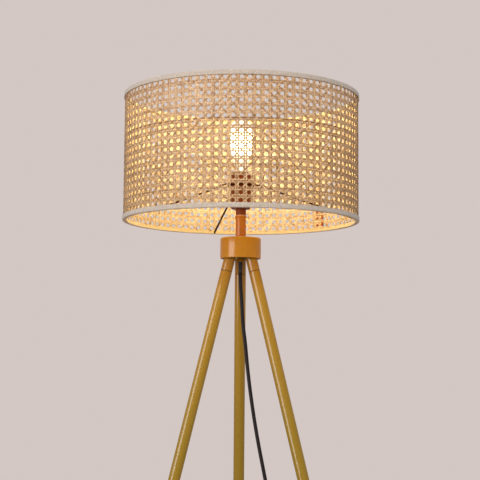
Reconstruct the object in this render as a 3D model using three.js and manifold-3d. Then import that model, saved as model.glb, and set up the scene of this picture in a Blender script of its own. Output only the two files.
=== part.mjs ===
// Floor lamp: an open drum shade of cane webbing on a tripod of painted steel tubes.
// Millimetres, +Z up, the floor at zero. The back leg points along +Y.

import * as THREE from 'three';
import { mergeVertices } from 'three/addons/utils/BufferGeometryUtils.js';
import Module from 'manifold-3d';

const wasm = await Module();
wasm.setup();

// Whole lamp
const lampHeight = 1500;
const shadeDiameter = 454;
const shadeHeight = 245;
const hubDrop = 30.6; // from the shade's lower rim down to the top of the hub
const seatGap = 0.3; // left between pieces that touch
const cutOverrun = 20; // how far a cutting block runs past what it cuts

// Cane panel, a net of gaps in one bent sheet
const caneThickness = 1.6;
const caneColumns = 32;
const caneRows = 6;
const caneSections = 8;
const caneGapShare = 0.52;

// Trim bands and the wire rings inside them
const trimThickness = 1;
const trimHeight = 8.5;
const rimWire = 4;

// Shade fitter
const fitterHeight = 70; // above the shade's lower rim
const fitterThickness = 2;
const fitterWidth = 6.3;
const spokeWire = 3.5;
const spokeFirstAngle = 104.5;
const spokeCount = 3;
const spokeFlat = 16; // the level start of a spoke, before it slopes down
const spokeEndLevel = 3; // above the shade's lower rim

// Lamp holder
const bossDiameter = 19.5;
const bossHeight = 11.7;
const holderFootDiameter = 35;
const holderDiameter = 39;
const holderWall = 2.2;
const holderCapHeight = 18;
const holderFloor = 3;
const holderSpigot = 7;
const holderTop = 96; // above the shade's lower rim
const shoulderHeight = 3;
const shoulderReach = 3;
const shadeRingHeight = 6.5;
const shadeRingInset = 0.5; // how far its edge stands in from the fitter ring's
const sleeveStep = 0.8; // how far the sleeve is drawn in above its shoulder
const insertHeight = 34;
const sleeveWall = 0.7;
const tongueWidth = 6;
const tongueThickness = 0.8;
const tongueRise = 3;

// Bulb
const bulbCapDiameter = 25.6;
const bulbCapHeight = 26;
const bulbTipDiameter = 9;
const bulbTipHeight = 4;
const bulbNeckDiameter = 29;
const bulbNeckHeight = 14;
const bulbDiameter = 52;
const bulbHeight = 107; // from the top of its cap to the top of its glass

// Stem and neck
const stemDiameter = 10;
const stemWall = 1;
const neckDiameter = 20;
const neckWall = 1.5;
const neckHeight = 43.6;
const neckFloor = 2;
const beadHeight = 3.4;
const beadReach = 1;
const leadDiameter = 6;

// Hub
const hubDiameter = 78;
const hubHeight = 40;
const hubWall = 2;
const hubTopFillet = 3.5;
const hubLowerFillet = 1.2;
const plateThickness = 5;
const plateRecess = 1;
const nutAcross = 14;
const nutHeight = 3.6;
const screwHeadDiameter = 6;
const screwHeadHeight = 2.2;
const screwShankDiameter = 3.4;
const screwSide = -7;
const screwFront = -18;

// Legs
const legTilt = 15.3; // degrees from upright
const legTopRadius = 23.9; // of the leg axes at the underside of the hub
const legDiameter = 21.6;
const legWall = 1.2;
const legFirstAngle = 90;
const legCount = 3;
const socketReach = 26;
const studDiameter = 10;
const studLength = 15;
const studBoreDepth = 18;
const plugDepth = 22;
const upperLegLength = 585;
const footGrip = 18;
const footWall = 2;
const footSpread = 1;
const footPad = 5;

// Cord, from the hub down to the floor, through the foot switch to a coil and the plug
const cordDiameter = 7;
const reliefLength = 22;
const reliefTopDiameter = 9;
const reliefEndDiameter = 7.8;
const cordDrop = [
  [0, 0, 1158.7],
  [0.4, 0, 1138],
  [3, 0, 1103],
  [6, 0, 1058],
  [10, 0, 1026],
  [16, 0, 968],
  [24, 0, 908],
  [34, 0, 848],
  [45, 0, 792],
  [59, 1, 724],
  [78, 3, 640],
  [100, 7, 548],
  [123, 12, 456],
  [146, 18, 364],
  [168, 26, 274],
  [188, 36, 188],
  [205, 49, 112],
  [218, 66, 55],
  [228, 88, 20],
  [235, 115, 5.8],
  [238.5, 145, 4.2],
  [240, 175, 4.6],
  [240, 188, 4.6],
];
const cordRun = [
  [240, 294.6, 4.6],
  [240, 308, 4.4],
  [236, 329, 3.8],
  [222, 348, 3.8],
  [201, 357, 4.2],
  [180, 358, 4.7],
  [164, 358, 4.9],
];

// Foot switch, seated on the end of the cord's drop
const switchLength = 80;
const switchWidth = 38;
const switchBaseHeight = 10;
const switchCoverHeight = 13;
const switchWall = 2.4;
const nozzleLength = 13;
const nozzleDiameter = 8.8;
const buttonDiameter = 28;
const buttonFlange = 2;
const buttonFlangeHeight = 2;
const buttonStand = 4.5; // how far the button stands proud of the cover
const buttonCrown = 1.6;

// Coil of the spare cord, two layers of two turns, and its tie
const coilInnerRadius = 31.5;
const coilPitch = 7.8;
const coilLayerRise = 7.6;
const coilTurns = 4.25;
const coilStepsPerTurn = 24;
const coilTailDrop = 5.2;
const coilTail = 46;
const tieWidth = 7;
const tieThickness = 0.9;

// Plug with two round pins
const plugWidth = 34;
const plugNeckWidth = 15;
const plugThickness = 14;
const plugLength = 36;
const plugReliefLength = 22;
const plugFillet = 2;
const pinDiameter = 4;
const pinLength = 19;
const pinSpacing = 18.6;

// Facets
const fineSteps = 24;
const tubeSteps = 16;
const pinSteps = 12;
const wireSides = 6;
const spokeSteps = 12;
const dropSteps = 48;
const runSteps = 12;
const filletSteps = 2;
const weldStep = 0.0001;

// Heights and radii that follow
const shadeRadius = shadeDiameter / 2;
const shadeBase = lampHeight - shadeHeight;
const hubTop = shadeBase - hubDrop;
const hubBase = hubTop - hubHeight;
const columnAngle = (2 * Math.PI) / caneColumns;
const caneOuterRadius = shadeRadius - trimThickness - seatGap;
const caneInnerRadius = caneOuterRadius - caneThickness;
const rimRadius = caneInnerRadius - seatGap - rimWire / 2;
const rimLevel = trimThickness + seatGap + rimWire / 2; // from the rim's edge to the wire's axis
const foldOuter = rimRadius - rimWire / 2 - seatGap;
const foldInner = foldOuter - trimThickness;
const neckTop = hubTop + seatGap + neckHeight;
const capBase = neckTop + seatGap;
const cupBase = capBase + bossHeight;
const cupTop = cupBase + holderCapHeight;
const fitterLevel = shadeBase + fitterHeight;
const shoulderTop = fitterLevel - seatGap;
const holderRadius = holderDiameter / 2;
const holderInnerRadius = holderRadius - holderWall;
const plateBase = hubBase + plateRecess;
const nutTop = plateBase - seatGap;
const nutBase = nutTop - nutHeight;
const tilt = THREE.MathUtils.degToRad(legTilt);
const legRadius = legDiameter / 2;
const cordRadius = cordDiameter / 2;
const tongueLevel = cupBase + holderFloor + seatGap + insertHeight + seatGap;
const bulbBase = tongueLevel + tongueThickness + tongueRise + seatGap;
const sleeveInnerRadius = bulbCapDiameter / 2 + seatGap;

function paint(color, roughness, metalness) {
  return new THREE.MeshStandardMaterial({ color, roughness, metalness });
}

const ochre = () => paint(0xb8762a, 0.42, 0.55);
const brownPhenolic = () => paint(0x4a2413, 0.35, 0);
const darkWire = () => paint(0x2b1710, 0.5, 0.4);
const linen = () => paint(0xc5b4a3, 0.95, 0);
const cane = () => paint(0xcda580, 0.7, 0);
const brightMetal = () => paint(0xb9b6ae, 0.3, 0.9);
const blackPlastic = () => paint(0x17171a, 0.5, 0);
const rubber = () => paint(0x1d1c1b, 0.9, 0);
const brass = () => paint(0xc9a55a, 0.3, 0.9);
const opal = () => paint(0xfff3dc, 0.35, 0);
const ceramic = () => paint(0xd9d4c8, 0.6, 0);

function piece(name, geometry, material) {
  const mesh = new THREE.Mesh(geometry, material);
  mesh.name = name;
  return mesh;
}

// Joins shared points and drops the faces that have collapsed, as at the pole of a revolve
function welded(geometry) {
  const bare = new THREE.BufferGeometry();
  bare.setAttribute('position', geometry.getAttribute('position'));
  bare.setIndex(geometry.getIndex());
  const merged = mergeVertices(bare, weldStep);
  const index = merged.getIndex().array;
  const kept = [];
  for (let i = 0; i < index.length; i += 3) {
    const [a, b, c] = index.slice(i, i + 3);
    if (a !== b && b !== c && c !== a) kept.push(a, b, c);
  }
  merged.setIndex(kept);
  return merged;
}

function solidOf(geometry) {
  const closed = welded(geometry);
  const vertProperties = new Float32Array(closed.getAttribute('position').array);
  const triVerts = new Uint32Array(closed.getIndex().array);
  return new wasm.Manifold(new wasm.Mesh({ numProp: 3, vertProperties, triVerts }));
}

function geometryOf(solid) {
  const mesh = solid.getMesh();
  const geometry = new THREE.BufferGeometry();
  geometry.setAttribute('position', new THREE.BufferAttribute(mesh.vertProperties, 3));
  geometry.setIndex(new THREE.BufferAttribute(mesh.triVerts, 1));
  geometry.computeVertexNormals();
  return geometry;
}

function cut(geometry, ...tools) {
  return geometryOf(tools.reduce((solid, tool) => solid.subtract(solidOf(tool)), solidOf(geometry)));
}

function joined(...geometries) {
  const [first, ...others] = geometries.map(solidOf);
  return geometryOf(others.reduce((solid, other) => solid.add(other), first));
}

// Traces corners given as [x, y] or [x, y, fillet], and rounds those that have a fillet
function trace(path, corners) {
  corners.forEach(([x, y, fillet = 0], i) => {
    const corner = new THREE.Vector2(x, y);
    const [before, after] = [i - 1, i + 1].map((k) => {
      const [nextX, nextY] = corners[(k + corners.length) % corners.length];
      return new THREE.Vector2(nextX, nextY).sub(corner).setLength(fillet).add(corner);
    });
    if (i === 0) path.moveTo(before.x, before.y);
    else path.lineTo(before.x, before.y);
    if (fillet) path.quadraticCurveTo(corner.x, corner.y, after.x, after.y);
  });
  return path;
}

// Revolves an outline of [radius, height] corners about Z. It ends on the axis or closes on itself
function turned(corners, steps = fineSteps) {
  const onAxis = corners[0][0] === 0;
  const path = trace(new THREE.Path(), corners);
  if (!onAxis) path.closePath();
  return new THREE.LatheGeometry(path.getPoints(filletSteps), steps).rotateX(Math.PI / 2);
}

// Raises a flat outline along Z from a base height
function raised(corners, base, height, holes = []) {
  const shape = trace(new THREE.Shape(), corners);
  shape.closePath();
  shape.holes.push(...holes);
  const options = { depth: height, bevelEnabled: false, curveSegments: filletSteps };
  return new THREE.ExtrudeGeometry(shape, options).translate(0, 0, base);
}

function drilled(radius, low, high, steps = fineSteps) {
  const height = high - low;
  return new THREE.CylinderGeometry(radius, radius, height, steps)
    .rotateX(Math.PI / 2)
    .translate(0, 0, low + height / 2);
}

function ringPoints(radius, sides) {
  return Array.from({ length: sides }, (_, i) => {
    const angle = (2 * Math.PI * i) / sides;
    return new THREE.Vector2(radius * Math.cos(angle), radius * Math.sin(angle));
  });
}

// A wire or cord of round section along a curve
function swept(curve, radius, sides, steps) {
  const section = new THREE.Shape(ringPoints(radius, sides));
  return new THREE.ExtrudeGeometry(section, { steps, extrudePath: curve, bevelEnabled: false });
}

function smooth(points) {
  return new THREE.CatmullRomCurve3(points.map((p) => new THREE.Vector3(...p)));
}

// One bent strip of the cane net, from one column of gaps to another
function caneStrip(first, count) {
  const seam = seatGap / 2 / caneInnerRadius;
  const low = trimThickness + seatGap;
  const rowHeight = (shadeHeight - 2 * low) / caneRows;
  const positions = [];

  function corner(radius, column, row) {
    const inset = column === first ? seam : column === first + count ? -seam : 0;
    const angle = column * columnAngle + inset;
    return [radius * Math.cos(angle), radius * Math.sin(angle), low + row * rowHeight];
  }

  function quad(a, b, c, d) {
    positions.push(...a, ...b, ...c, ...a, ...c, ...d);
  }

  // The four corners of a cell, drawn in towards its middle by a share
  function cell(radius, column, row, share) {
    const outer = [[0, 0], [1, 0], [1, 1], [0, 1]];
    const corners = outer.map(([u, v]) => corner(radius, column + u, row + v));
    const middle = [0, 1, 2].map((k) => corners.reduce((sum, p) => sum + p[k], 0) / corners.length);
    return corners.map((p) => p.map((value, k) => middle[k] + (value - middle[k]) * share));
  }

  for (let column = first; column < first + count; column += 1) {
    for (let row = 0; row < caneRows; row += 1) {
      const [outside, inside] = [caneOuterRadius, caneInnerRadius].map((radius) => ({
        edge: cell(radius, column, row, 1),
        gap: cell(radius, column, row, caneGapShare),
      }));
      for (let k = 0; k < outside.edge.length; k += 1) {
        const next = (k + 1) % outside.edge.length;
        quad(outside.edge[k], outside.edge[next], outside.gap[next], outside.gap[k]);
        quad(inside.edge[next], inside.edge[k], inside.gap[k], inside.gap[next]);
        quad(outside.gap[k], outside.gap[next], inside.gap[next], inside.gap[k]);
      }
    }
    const [lowOut, lowIn] = [caneOuterRadius, caneInnerRadius].map((r) => cell(r, column, 0, 1));
    quad(lowIn[0], lowIn[1], lowOut[1], lowOut[0]);
    const [topOut, topIn] = [caneOuterRadius, caneInnerRadius].map((r) => cell(r, column, caneRows - 1, 1));
    quad(topOut[3], topOut[2], topIn[2], topIn[3]);
  }
  for (let row = 0; row < caneRows; row += 1) {
    const [startOut, startIn] = [caneOuterRadius, caneInnerRadius].map((r) => cell(r, first, row, 1));
    quad(startOut[3], startIn[3], startIn[0], startOut[0]);
    const last = first + count - 1;
    const [endOut, endIn] = [caneOuterRadius, caneInnerRadius].map((r) => cell(r, last, row, 1));
    quad(endOut[1], endIn[1], endIn[2], endOut[2]);
  }
  const geometry = new THREE.BufferGeometry();
  geometry.setAttribute('position', new THREE.Float32BufferAttribute(positions, 3));
  return welded(geometry);
}

// Linen band folded round a rim. Its outer side is tall and its fold ends level with the wire
function trimBand() {
  const foldTop = rimLevel + rimWire / 2;
  return turned([
    [foldInner, 0, trimThickness],
    [shadeRadius, 0, trimThickness],
    [shadeRadius, trimHeight],
    [shadeRadius - trimThickness, trimHeight],
    [shadeRadius - trimThickness, trimThickness],
    [foldOuter, trimThickness],
    [foldOuter, foldTop],
    [foldInner, foldTop],
  ], caneColumns);
}

function rimRing() {
  return new THREE.TorusGeometry(rimRadius, rimWire / 2, wireSides, caneColumns)
    .translate(0, 0, rimLevel);
}

// Wire spoke that slopes down from the fitter ring and ends against the fold round the lower rim
function spokeGeometry() {
  const ringEdge = holderRadius + seatGap + fitterWidth;
  const level = fitterHeight + fitterThickness / 2;
  const bend = ringEdge + spokeFlat;
  const end = foldInner * Math.cos(columnAngle / 2) - seatGap - spokeWire / 4;
  const curve = smooth([
    [ringEdge + seatGap, 0, level],
    [ringEdge + spokeFlat / 2, 0, level],
    [bend, 0, level - spokeWire / 2],
    [bend + spokeFlat, 0, level - spokeWire * 2.5],
    [end - spokeFlat, 0, spokeEndLevel + spokeWire * 1.8],
    [end, 0, spokeEndLevel],
  ]);
  return swept(curve, spokeWire / 2, wireSides, spokeSteps);
}

function makeShade() {
  const shade = new THREE.Group();
  shade.position.z = shadeBase;
  const columns = caneColumns / caneSections;
  for (let i = 0; i < caneSections; i += 1) {
    shade.add(piece(`cane_panel_${i + 1}`, caneStrip(i * columns, columns), cane()));
  }
  shade.add(piece('lower_trim_band', trimBand(), linen()));
  shade.add(piece('lower_rim_ring', rimRing(), darkWire()));

  const upper = new THREE.Group();
  upper.position.z = shadeHeight;
  upper.rotation.x = Math.PI;
  upper.add(piece('upper_trim_band', trimBand(), linen()));
  upper.add(piece('upper_rim_ring', rimRing(), darkWire()));
  shade.add(upper);

  for (let i = 0; i < spokeCount; i += 1) {
    const spoke = piece(`fitter_spoke_${i + 1}`, spokeGeometry(), darkWire());
    spoke.rotation.z = THREE.MathUtils.degToRad(spokeFirstAngle + (360 * i) / spokeCount);
    shade.add(spoke);
  }
  const ringInner = holderRadius + seatGap;
  const ringEdge = ringInner + fitterWidth;
  shade.add(piece('fitter_ring', turned([
    [ringInner, fitterHeight],
    [ringEdge, fitterHeight],
    [ringEdge, fitterHeight + fitterThickness],
    [ringInner, fitterHeight + fitterThickness],
  ]), darkWire()));
  return shade;
}

function holderCap() {
  const foot = holderFootDiameter / 2;
  const bore = stemDiameter / 2 + seatGap;
  const round = holderRadius - foot;
  return turned([
    [bore, capBase],
    [bossDiameter / 2, capBase],
    [bossDiameter / 2, cupBase],
    [foot, cupBase],
    [holderRadius, cupBase + round, round],
    [holderRadius, cupTop],
    [holderInnerRadius, cupTop],
    [holderInnerRadius, cupBase + holderFloor],
    [bore, cupBase + holderFloor],
  ]);
}

// Outer sleeve: a spigot in the cap, a shoulder under the fitter ring and a rounded lip
function holderShell() {
  const spigotOuter = holderInnerRadius - seatGap;
  const spigotInner = spigotOuter - holderWall;
  const top = shadeBase + holderTop;
  const shoulderRadius = holderRadius + shoulderReach;
  const root = holderRadius - sleeveStep;
  return turned([
    [spigotInner, cupTop - holderSpigot],
    [spigotOuter, cupTop - holderSpigot],
    [spigotOuter, cupTop + seatGap],
    [holderRadius, cupTop + seatGap],
    [holderRadius, shoulderTop - shoulderHeight],
    [shoulderRadius, shoulderTop - shoulderHeight],
    [shoulderRadius, shoulderTop],
    [root, shoulderTop],
    [root, top, sleeveStep],
    [holderInnerRadius, top],
    [holderInnerRadius, cupTop + holderWall],
    [spigotInner, cupTop + holderWall],
  ]);
}

function shadeRing() {
  const base = fitterLevel + fitterThickness + seatGap;
  const inner = holderRadius + seatGap;
  const outer = inner + fitterWidth - shadeRingInset;
  return turned([
    [inner, base],
    [outer, base, seatGap],
    [outer, base + shadeRingHeight, shadeRingHeight / 4],
    [inner, base + shadeRingHeight],
  ]);
}

// Insulating insert that stands on the floor of the cap and carries the contacts
function holderInsert() {
  const base = cupBase + holderFloor + seatGap;
  const outer = holderInnerRadius - holderWall - 2 * seatGap;
  return turned([
    [leadDiameter / 2 + seatGap, base],
    [outer, base],
    [outer, base + insertHeight],
    [leadDiameter / 2 + seatGap, base + insertHeight],
  ], tubeSteps);
}

// Brass tongue: a flat strip whose middle stands up under the bulb's tip
function contactTongue() {
  const half = bulbCapDiameter / 2 - tongueWidth / 2;
  const rise = tongueThickness + tongueRise;
  const side = [
    [-half, 0],
    [half, 0],
    [half, tongueThickness],
    [tongueWidth, rise],
    [-tongueWidth, rise],
    [-tongueWidth + tongueThickness, tongueRise],
    [tongueWidth - 2 * tongueThickness, tongueRise],
    [half - tongueWidth, tongueThickness],
    [-half, tongueThickness],
  ];
  return raised(side, -tongueWidth / 2, tongueWidth)
    .rotateX(Math.PI / 2)
    .translate(0, 0, tongueLevel);
}

// Metal sleeve that stands on the insert and grips the bulb's cap
function screwSleeve() {
  const top = bulbBase + bulbCapHeight - holderWall;
  const outer = sleeveInnerRadius + sleeveWall;
  return turned([
    [sleeveInnerRadius, tongueLevel],
    [outer, tongueLevel],
    [outer, top],
    [sleeveInnerRadius, top],
  ], tubeSteps);
}

function bulbCap() {
  const radius = bulbCapDiameter / 2;
  return turned([
    [0, bulbBase],
    [bulbTipDiameter / 2, bulbBase, bulbTipHeight / 4],
    [bulbTipDiameter / 2, bulbBase + bulbTipHeight / 2],
    [radius, bulbBase + bulbTipHeight],
    [radius, bulbBase + bulbCapHeight],
    [0, bulbBase + bulbCapHeight],
  ], tubeSteps);
}

// Opal bulb: a straight neck that swells into a ball
function bulbGlass() {
  const base = bulbBase + bulbCapHeight + seatGap;
  const ball = bulbDiameter / 2;
  const neck = bulbNeckDiameter / 2;
  const top = base + bulbHeight;
  const centre = top - ball;
  const path = new THREE.Path();
  path.moveTo(0, base);
  path.lineTo(bulbCapDiameter / 2, base);
  path.lineTo(neck, base + bulbNeckHeight / 2);
  path.lineTo(neck, base + bulbNeckHeight);
  path.quadraticCurveTo(neck, centre - ball, ball, centre);
  path.absarc(0, centre, ball, 0, Math.PI / 2, false);
  return new THREE.LatheGeometry(path.getPoints(4), fineSteps).rotateX(Math.PI / 2);
}

function makeHolder() {
  const holder = new THREE.Group();
  holder.add(piece('holder_cap', holderCap(), brownPhenolic()));
  holder.add(piece('holder_shell', holderShell(), brownPhenolic()));
  holder.add(piece('shade_ring', shadeRing(), brownPhenolic()));
  holder.add(piece('holder_insert', holderInsert(), ceramic()));
  holder.add(piece('contact_tongue', contactTongue(), brass()));
  holder.add(piece('screw_sleeve', screwSleeve(), brightMetal()));
  holder.add(piece('bulb_cap', bulbCap(), brightMetal()));
  holder.add(piece('bulb_glass', bulbGlass(), opal()));
  return holder;
}

function neckTube() {
  const radius = neckDiameter / 2;
  const base = hubTop + seatGap;
  const bore = stemDiameter / 2 + seatGap;
  return turned([
    [radius - neckWall, base],
    [radius, base],
    [radius, neckTop - beadHeight],
    [radius + beadReach, neckTop - beadHeight, beadReach / 2],
    [radius + beadReach, neckTop, beadHeight / 2],
    [bore, neckTop],
    [bore, neckTop - neckFloor],
    [radius - neckWall, neckTop - neckFloor],
  ]);
}

// Hollow stem that holds cap, neck, hub and plate together
function stemGeometry() {
  const outer = stemDiameter / 2;
  const top = cupBase + holderFloor;
  return turned([
    [outer - stemWall, nutBase],
    [outer, nutBase],
    [outer, top],
    [outer - stemWall, top],
  ], tubeSteps);
}

function hubShell() {
  const radius = hubDiameter / 2;
  const inner = radius - hubWall;
  const bore = stemDiameter / 2 + seatGap;
  return turned([
    [inner, hubBase],
    [radius, hubBase, hubLowerFillet],
    [radius, hubTop, hubTopFillet],
    [bore, hubTop],
    [bore, hubTop - hubWall],
    [inner, hubTop - hubWall, hubTopFillet - hubWall],
  ], 2 * tubeSteps);
}

function hubPlate() {
  const radius = hubDiameter / 2 - hubWall - seatGap;
  const disc = turned([
    [stemDiameter / 2 + seatGap, plateBase],
    [radius, plateBase],
    [radius, plateBase + plateThickness],
    [stemDiameter / 2 + seatGap, plateBase + plateThickness],
  ], 2 * tubeSteps);
  const hole = drilled(
    screwShankDiameter / 2 + seatGap,
    plateBase - cutOverrun,
    plateBase + plateThickness + cutOverrun,
    wireSides,
  ).translate(screwSide, screwFront, 0);
  return cut(disc, hole);
}

function stemNut() {
  const corner = nutAcross / 2 / Math.cos(Math.PI / 6);
  const hexagon = ringPoints(corner, 6).map((p) => [p.x, p.y]);
  const block = raised(hexagon, nutBase, nutHeight);
  const bore = stemDiameter / 2 + seatGap;
  return cut(block, drilled(bore, nutBase - cutOverrun, nutTop + cutOverrun, tubeSteps));
}

function plateScrew() {
  const head = plateBase - seatGap;
  const shank = screwShankDiameter / 2;
  return turned([
    [0, head - screwHeadHeight],
    [screwHeadDiameter / 2, head - screwHeadHeight, screwHeadHeight / 2],
    [screwHeadDiameter / 2, head],
    [shank, head],
    [shank, plateBase + plateThickness],
    [0, plateBase + plateThickness],
  ], pinSteps);
}

// Lead inside the stem, from the strain relief up to the insert's contacts
function innerLead() {
  const low = nutBase - seatGap - reliefLength;
  const high = tongueLevel - seatGap;
  return drilled(leadDiameter / 2, low, high, wireSides);
}

function makeHub() {
  const hub = new THREE.Group();
  hub.add(piece('neck_tube', neckTube(), ochre()));
  hub.add(piece('stem', stemGeometry(), brightMetal()));
  hub.add(piece('hub_shell', hubShell(), ochre()));
  hub.add(piece('hub_plate', hubPlate(), ochre()));
  hub.add(piece('stem_nut', stemNut(), ochre()));
  const screw = piece('plate_screw', plateScrew(), brightMetal());
  screw.position.set(screwSide, screwFront, 0);
  hub.add(screw);
  hub.add(piece('inner_lead', innerLead(), blackPlastic()));
  return hub;
}

// The frame of one leg: its Z runs up the leg, from where its axis meets the hub's underside
function legFrame(turn) {
  const frame = new THREE.Matrix4().makeRotationZ(turn);
  frame.multiply(new THREE.Matrix4().makeTranslation(legTopRadius, 0, hubBase));
  return frame.multiply(new THREE.Matrix4().makeRotationY(-tilt));
}

// A block that fills the space above or below a level of the lamp, in the frame of a leg
function levelBlock(frame, level, side) {
  const size = hubDiameter * 2;
  const middle = new THREE.Vector3(0, 0, (level - hubBase) / Math.cos(tilt)).applyMatrix4(frame);
  return new THREE.BoxGeometry(size, size, size)
    .translate(middle.x, middle.y, level + (side * size) / 2)
    .applyMatrix4(frame.clone().invert());
}

// Short socket under the hub's plate, with a threaded bore for the leg's stud
function legSocket(frame) {
  const reach = plateRecess / Math.cos(tilt) + legRadius * Math.tan(tilt) + cutOverrun;
  const rod = turned([
    [0, studBoreDepth - socketReach],
    [studDiameter / 2 + seatGap, studBoreDepth - socketReach],
    [studDiameter / 2 + seatGap, -socketReach],
    [legRadius, -socketReach],
    [legRadius, reach],
    [0, reach],
  ], tubeSteps);
  return cut(rod, levelBlock(frame, plateBase - seatGap, 1));
}

// A leg section from its stud down to its lower end, hollow below a plug
function legSection(top, bottom, lowerPlug) {
  const stud = studDiameter / 2;
  const inner = legRadius - legWall;
  const lowerEnd = lowerPlug
    ? [[stud + seatGap, bottom], [stud + seatGap, bottom + plugDepth], [inner, bottom + plugDepth]]
    : [[inner, bottom]];
  return turned([
    [0, top - plugDepth],
    [inner, top - plugDepth],
    ...lowerEnd.reverse(),
    [legRadius, bottom],
    [legRadius, top],
    [stud, top],
    [stud, top + studLength, stud / 4],
    [0, top + studLength],
  ], tubeSteps);
}

function makeLeg(number) {
  const turn = THREE.MathUtils.degToRad(legFirstAngle + (360 * (number - 1)) / legCount);
  const frame = legFrame(turn);
  const upperTop = -socketReach - seatGap;
  const upperBottom = upperTop - upperLegLength;
  const endLevel = legRadius * Math.sin(tilt) + footPad;
  const lowerTop = upperBottom - seatGap;
  const lowerBottom = -(hubBase - endLevel) / Math.cos(tilt);

  const leg = new THREE.Group();
  leg.applyMatrix4(frame);
  leg.add(piece(`leg_socket_${number}`, legSocket(frame), ochre()));
  leg.add(piece(`upper_leg_${number}`, legSection(upperTop, upperBottom, true), ochre()));
  leg.add(piece(`lower_leg_${number}`, legSection(lowerTop, lowerBottom, false), ochre()));
  leg.add(piece(`rubber_foot_${number}`, rubberFoot(frame, lowerBottom), rubber()));
  return leg;
}

// Rubber foot: a cup on the end of the leg, cut level with the floor
function rubberFoot(frame, legEnd) {
  const bore = legRadius + seatGap;
  const outer = bore + footWall;
  const rim = legEnd + footGrip;
  const low = legEnd - footPad - cutOverrun;
  const cup = turned([
    [0, low],
    [outer + footSpread, low],
    [outer + footSpread, legEnd],
    [outer, rim, footWall / 2],
    [bore, rim],
    [bore, legEnd - seatGap],
    [0, legEnd - seatGap],
  ], tubeSteps);
  return cut(cup, levelBlock(frame, 0, -1));
}

// Tapered sleeve that keeps the cord from kinking where it leaves the stem
function strainRelief() {
  const top = nutBase - seatGap;
  const bottom = top - reliefLength;
  const bore = leadDiameter / 2 + seatGap;
  return turned([
    [bore, bottom],
    [reliefEndDiameter / 2, bottom],
    [reliefTopDiameter / 2, top],
    [bore, top],
  ], tubeSteps);
}

function stadium(length, width) {
  const half = length / 2;
  const side = width / 2;
  return [[half, -side, side], [half, side, side], [-half, side, side], [-half, -side, side]];
}

// Foot switch, built about its middle with its length along Y
function makeSwitch(place) {
  const level = place[2];
  const halfLength = switchLength / 2;
  const coverBase = switchBaseHeight + seatGap;
  const roof = coverBase + switchCoverHeight;
  const ceiling = roof - switchWall;
  const group = new THREE.Group();
  group.position.set(place[0], place[1] + seatGap + nozzleLength + halfLength, 0);

  const nozzle = drilled(nozzleDiameter / 2, 0, nozzleLength + cutOverrun, pinSteps);
  const front = nozzle.clone().translate(0, 0, halfLength - cutOverrun).rotateX(Math.PI / 2);
  const back = nozzle.clone().translate(0, 0, halfLength - cutOverrun).rotateX(-Math.PI / 2);
  const tray = raised(stadium(switchLength, switchWidth), 0, switchBaseHeight).rotateZ(Math.PI / 2);
  const base = joined(tray, front.translate(0, 0, level), back.translate(0, 0, level));
  group.add(piece('switch_base', base, blackPlastic()));

  const block = raised(stadium(switchLength, switchWidth), coverBase, switchCoverHeight);
  const room = raised(
    stadium(switchLength - 2 * switchWall, switchWidth - 2 * switchWall),
    coverBase - cutOverrun,
    switchCoverHeight + cutOverrun - switchWall,
  );
  const mouth = drilled(buttonDiameter / 2 + seatGap, coverBase, roof + cutOverrun, tubeSteps);
  const cover = cut(block, room, mouth).rotateZ(Math.PI / 2);
  group.add(piece('switch_cover', cover, blackPlastic()));

  const flangeTop = ceiling - seatGap;
  const button = turned([
    [0, flangeTop - buttonFlangeHeight],
    [buttonDiameter / 2 + buttonFlange, flangeTop - buttonFlangeHeight],
    [buttonDiameter / 2 + buttonFlange, flangeTop],
    [buttonDiameter / 2, flangeTop],
    [buttonDiameter / 2, roof + buttonStand, buttonCrown],
    [0, roof + buttonStand],
  ], tubeSteps);
  group.add(piece('switch_button', button, blackPlastic()));
  return group;
}

// Points of the coil: in over the lower layer, up in the half turn at the middle, out over the upper
function coilPoints(start) {
  const middle = (coilTurns / 2) * 2 * Math.PI;
  const outer = coilInnerRadius + (coilPitch * coilTurns) / 2;
  const centre = new THREE.Vector3(start[0] - cordDiameter, start[1] - outer, start[2]);
  const steps = Math.round(coilTurns * coilStepsPerTurn);
  const points = [new THREE.Vector3(start[0], start[1], start[2])];
  for (let i = 0; i <= steps; i += 1) {
    const turn = (2 * Math.PI * i) / coilStepsPerTurn;
    const away = turn - middle;
    const radius = coilInnerRadius + (coilPitch * Math.abs(away)) / (2 * Math.PI);
    const climb = THREE.MathUtils.smoothstep(away, -Math.PI / 2, Math.PI / 2) * coilLayerRise;
    const angle = Math.PI / 2 + turn;
    points.push(new THREE.Vector3(
      centre.x + radius * Math.cos(angle),
      centre.y + radius * Math.sin(angle),
      centre.z + climb,
    ));
  }
  return { points, centre, outer };
}

// The tail leaves the coil along its tangent and comes down to the plug's height
function coilTailPoints(points) {
  const last = points[points.length - 1];
  const heading = last.clone().sub(points[points.length - 2]);
  heading.z = 0;
  heading.normalize();
  const at = (reach, drop) => last.clone().addScaledVector(heading, reach).setZ(last.z - drop);
  return [
    at(coilTail / 4, 0),
    at(coilTail / 2, coilTailDrop / 2),
    at((3 * coilTail) / 4, coilTailDrop),
    at(coilTail - cordDiameter, coilTailDrop),
    at(coilTail, coilTailDrop),
  ];
}

function leastGap(points) {
  const apart = Math.ceil(coilStepsPerTurn / 2);
  let least = Infinity;
  for (let i = 0; i < points.length; i += 1) {
    for (let j = i + apart; j < points.length; j += 1) {
      least = Math.min(least, points[i].distanceTo(points[j]) - cordDiameter);
    }
  }
  return least;
}

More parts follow.
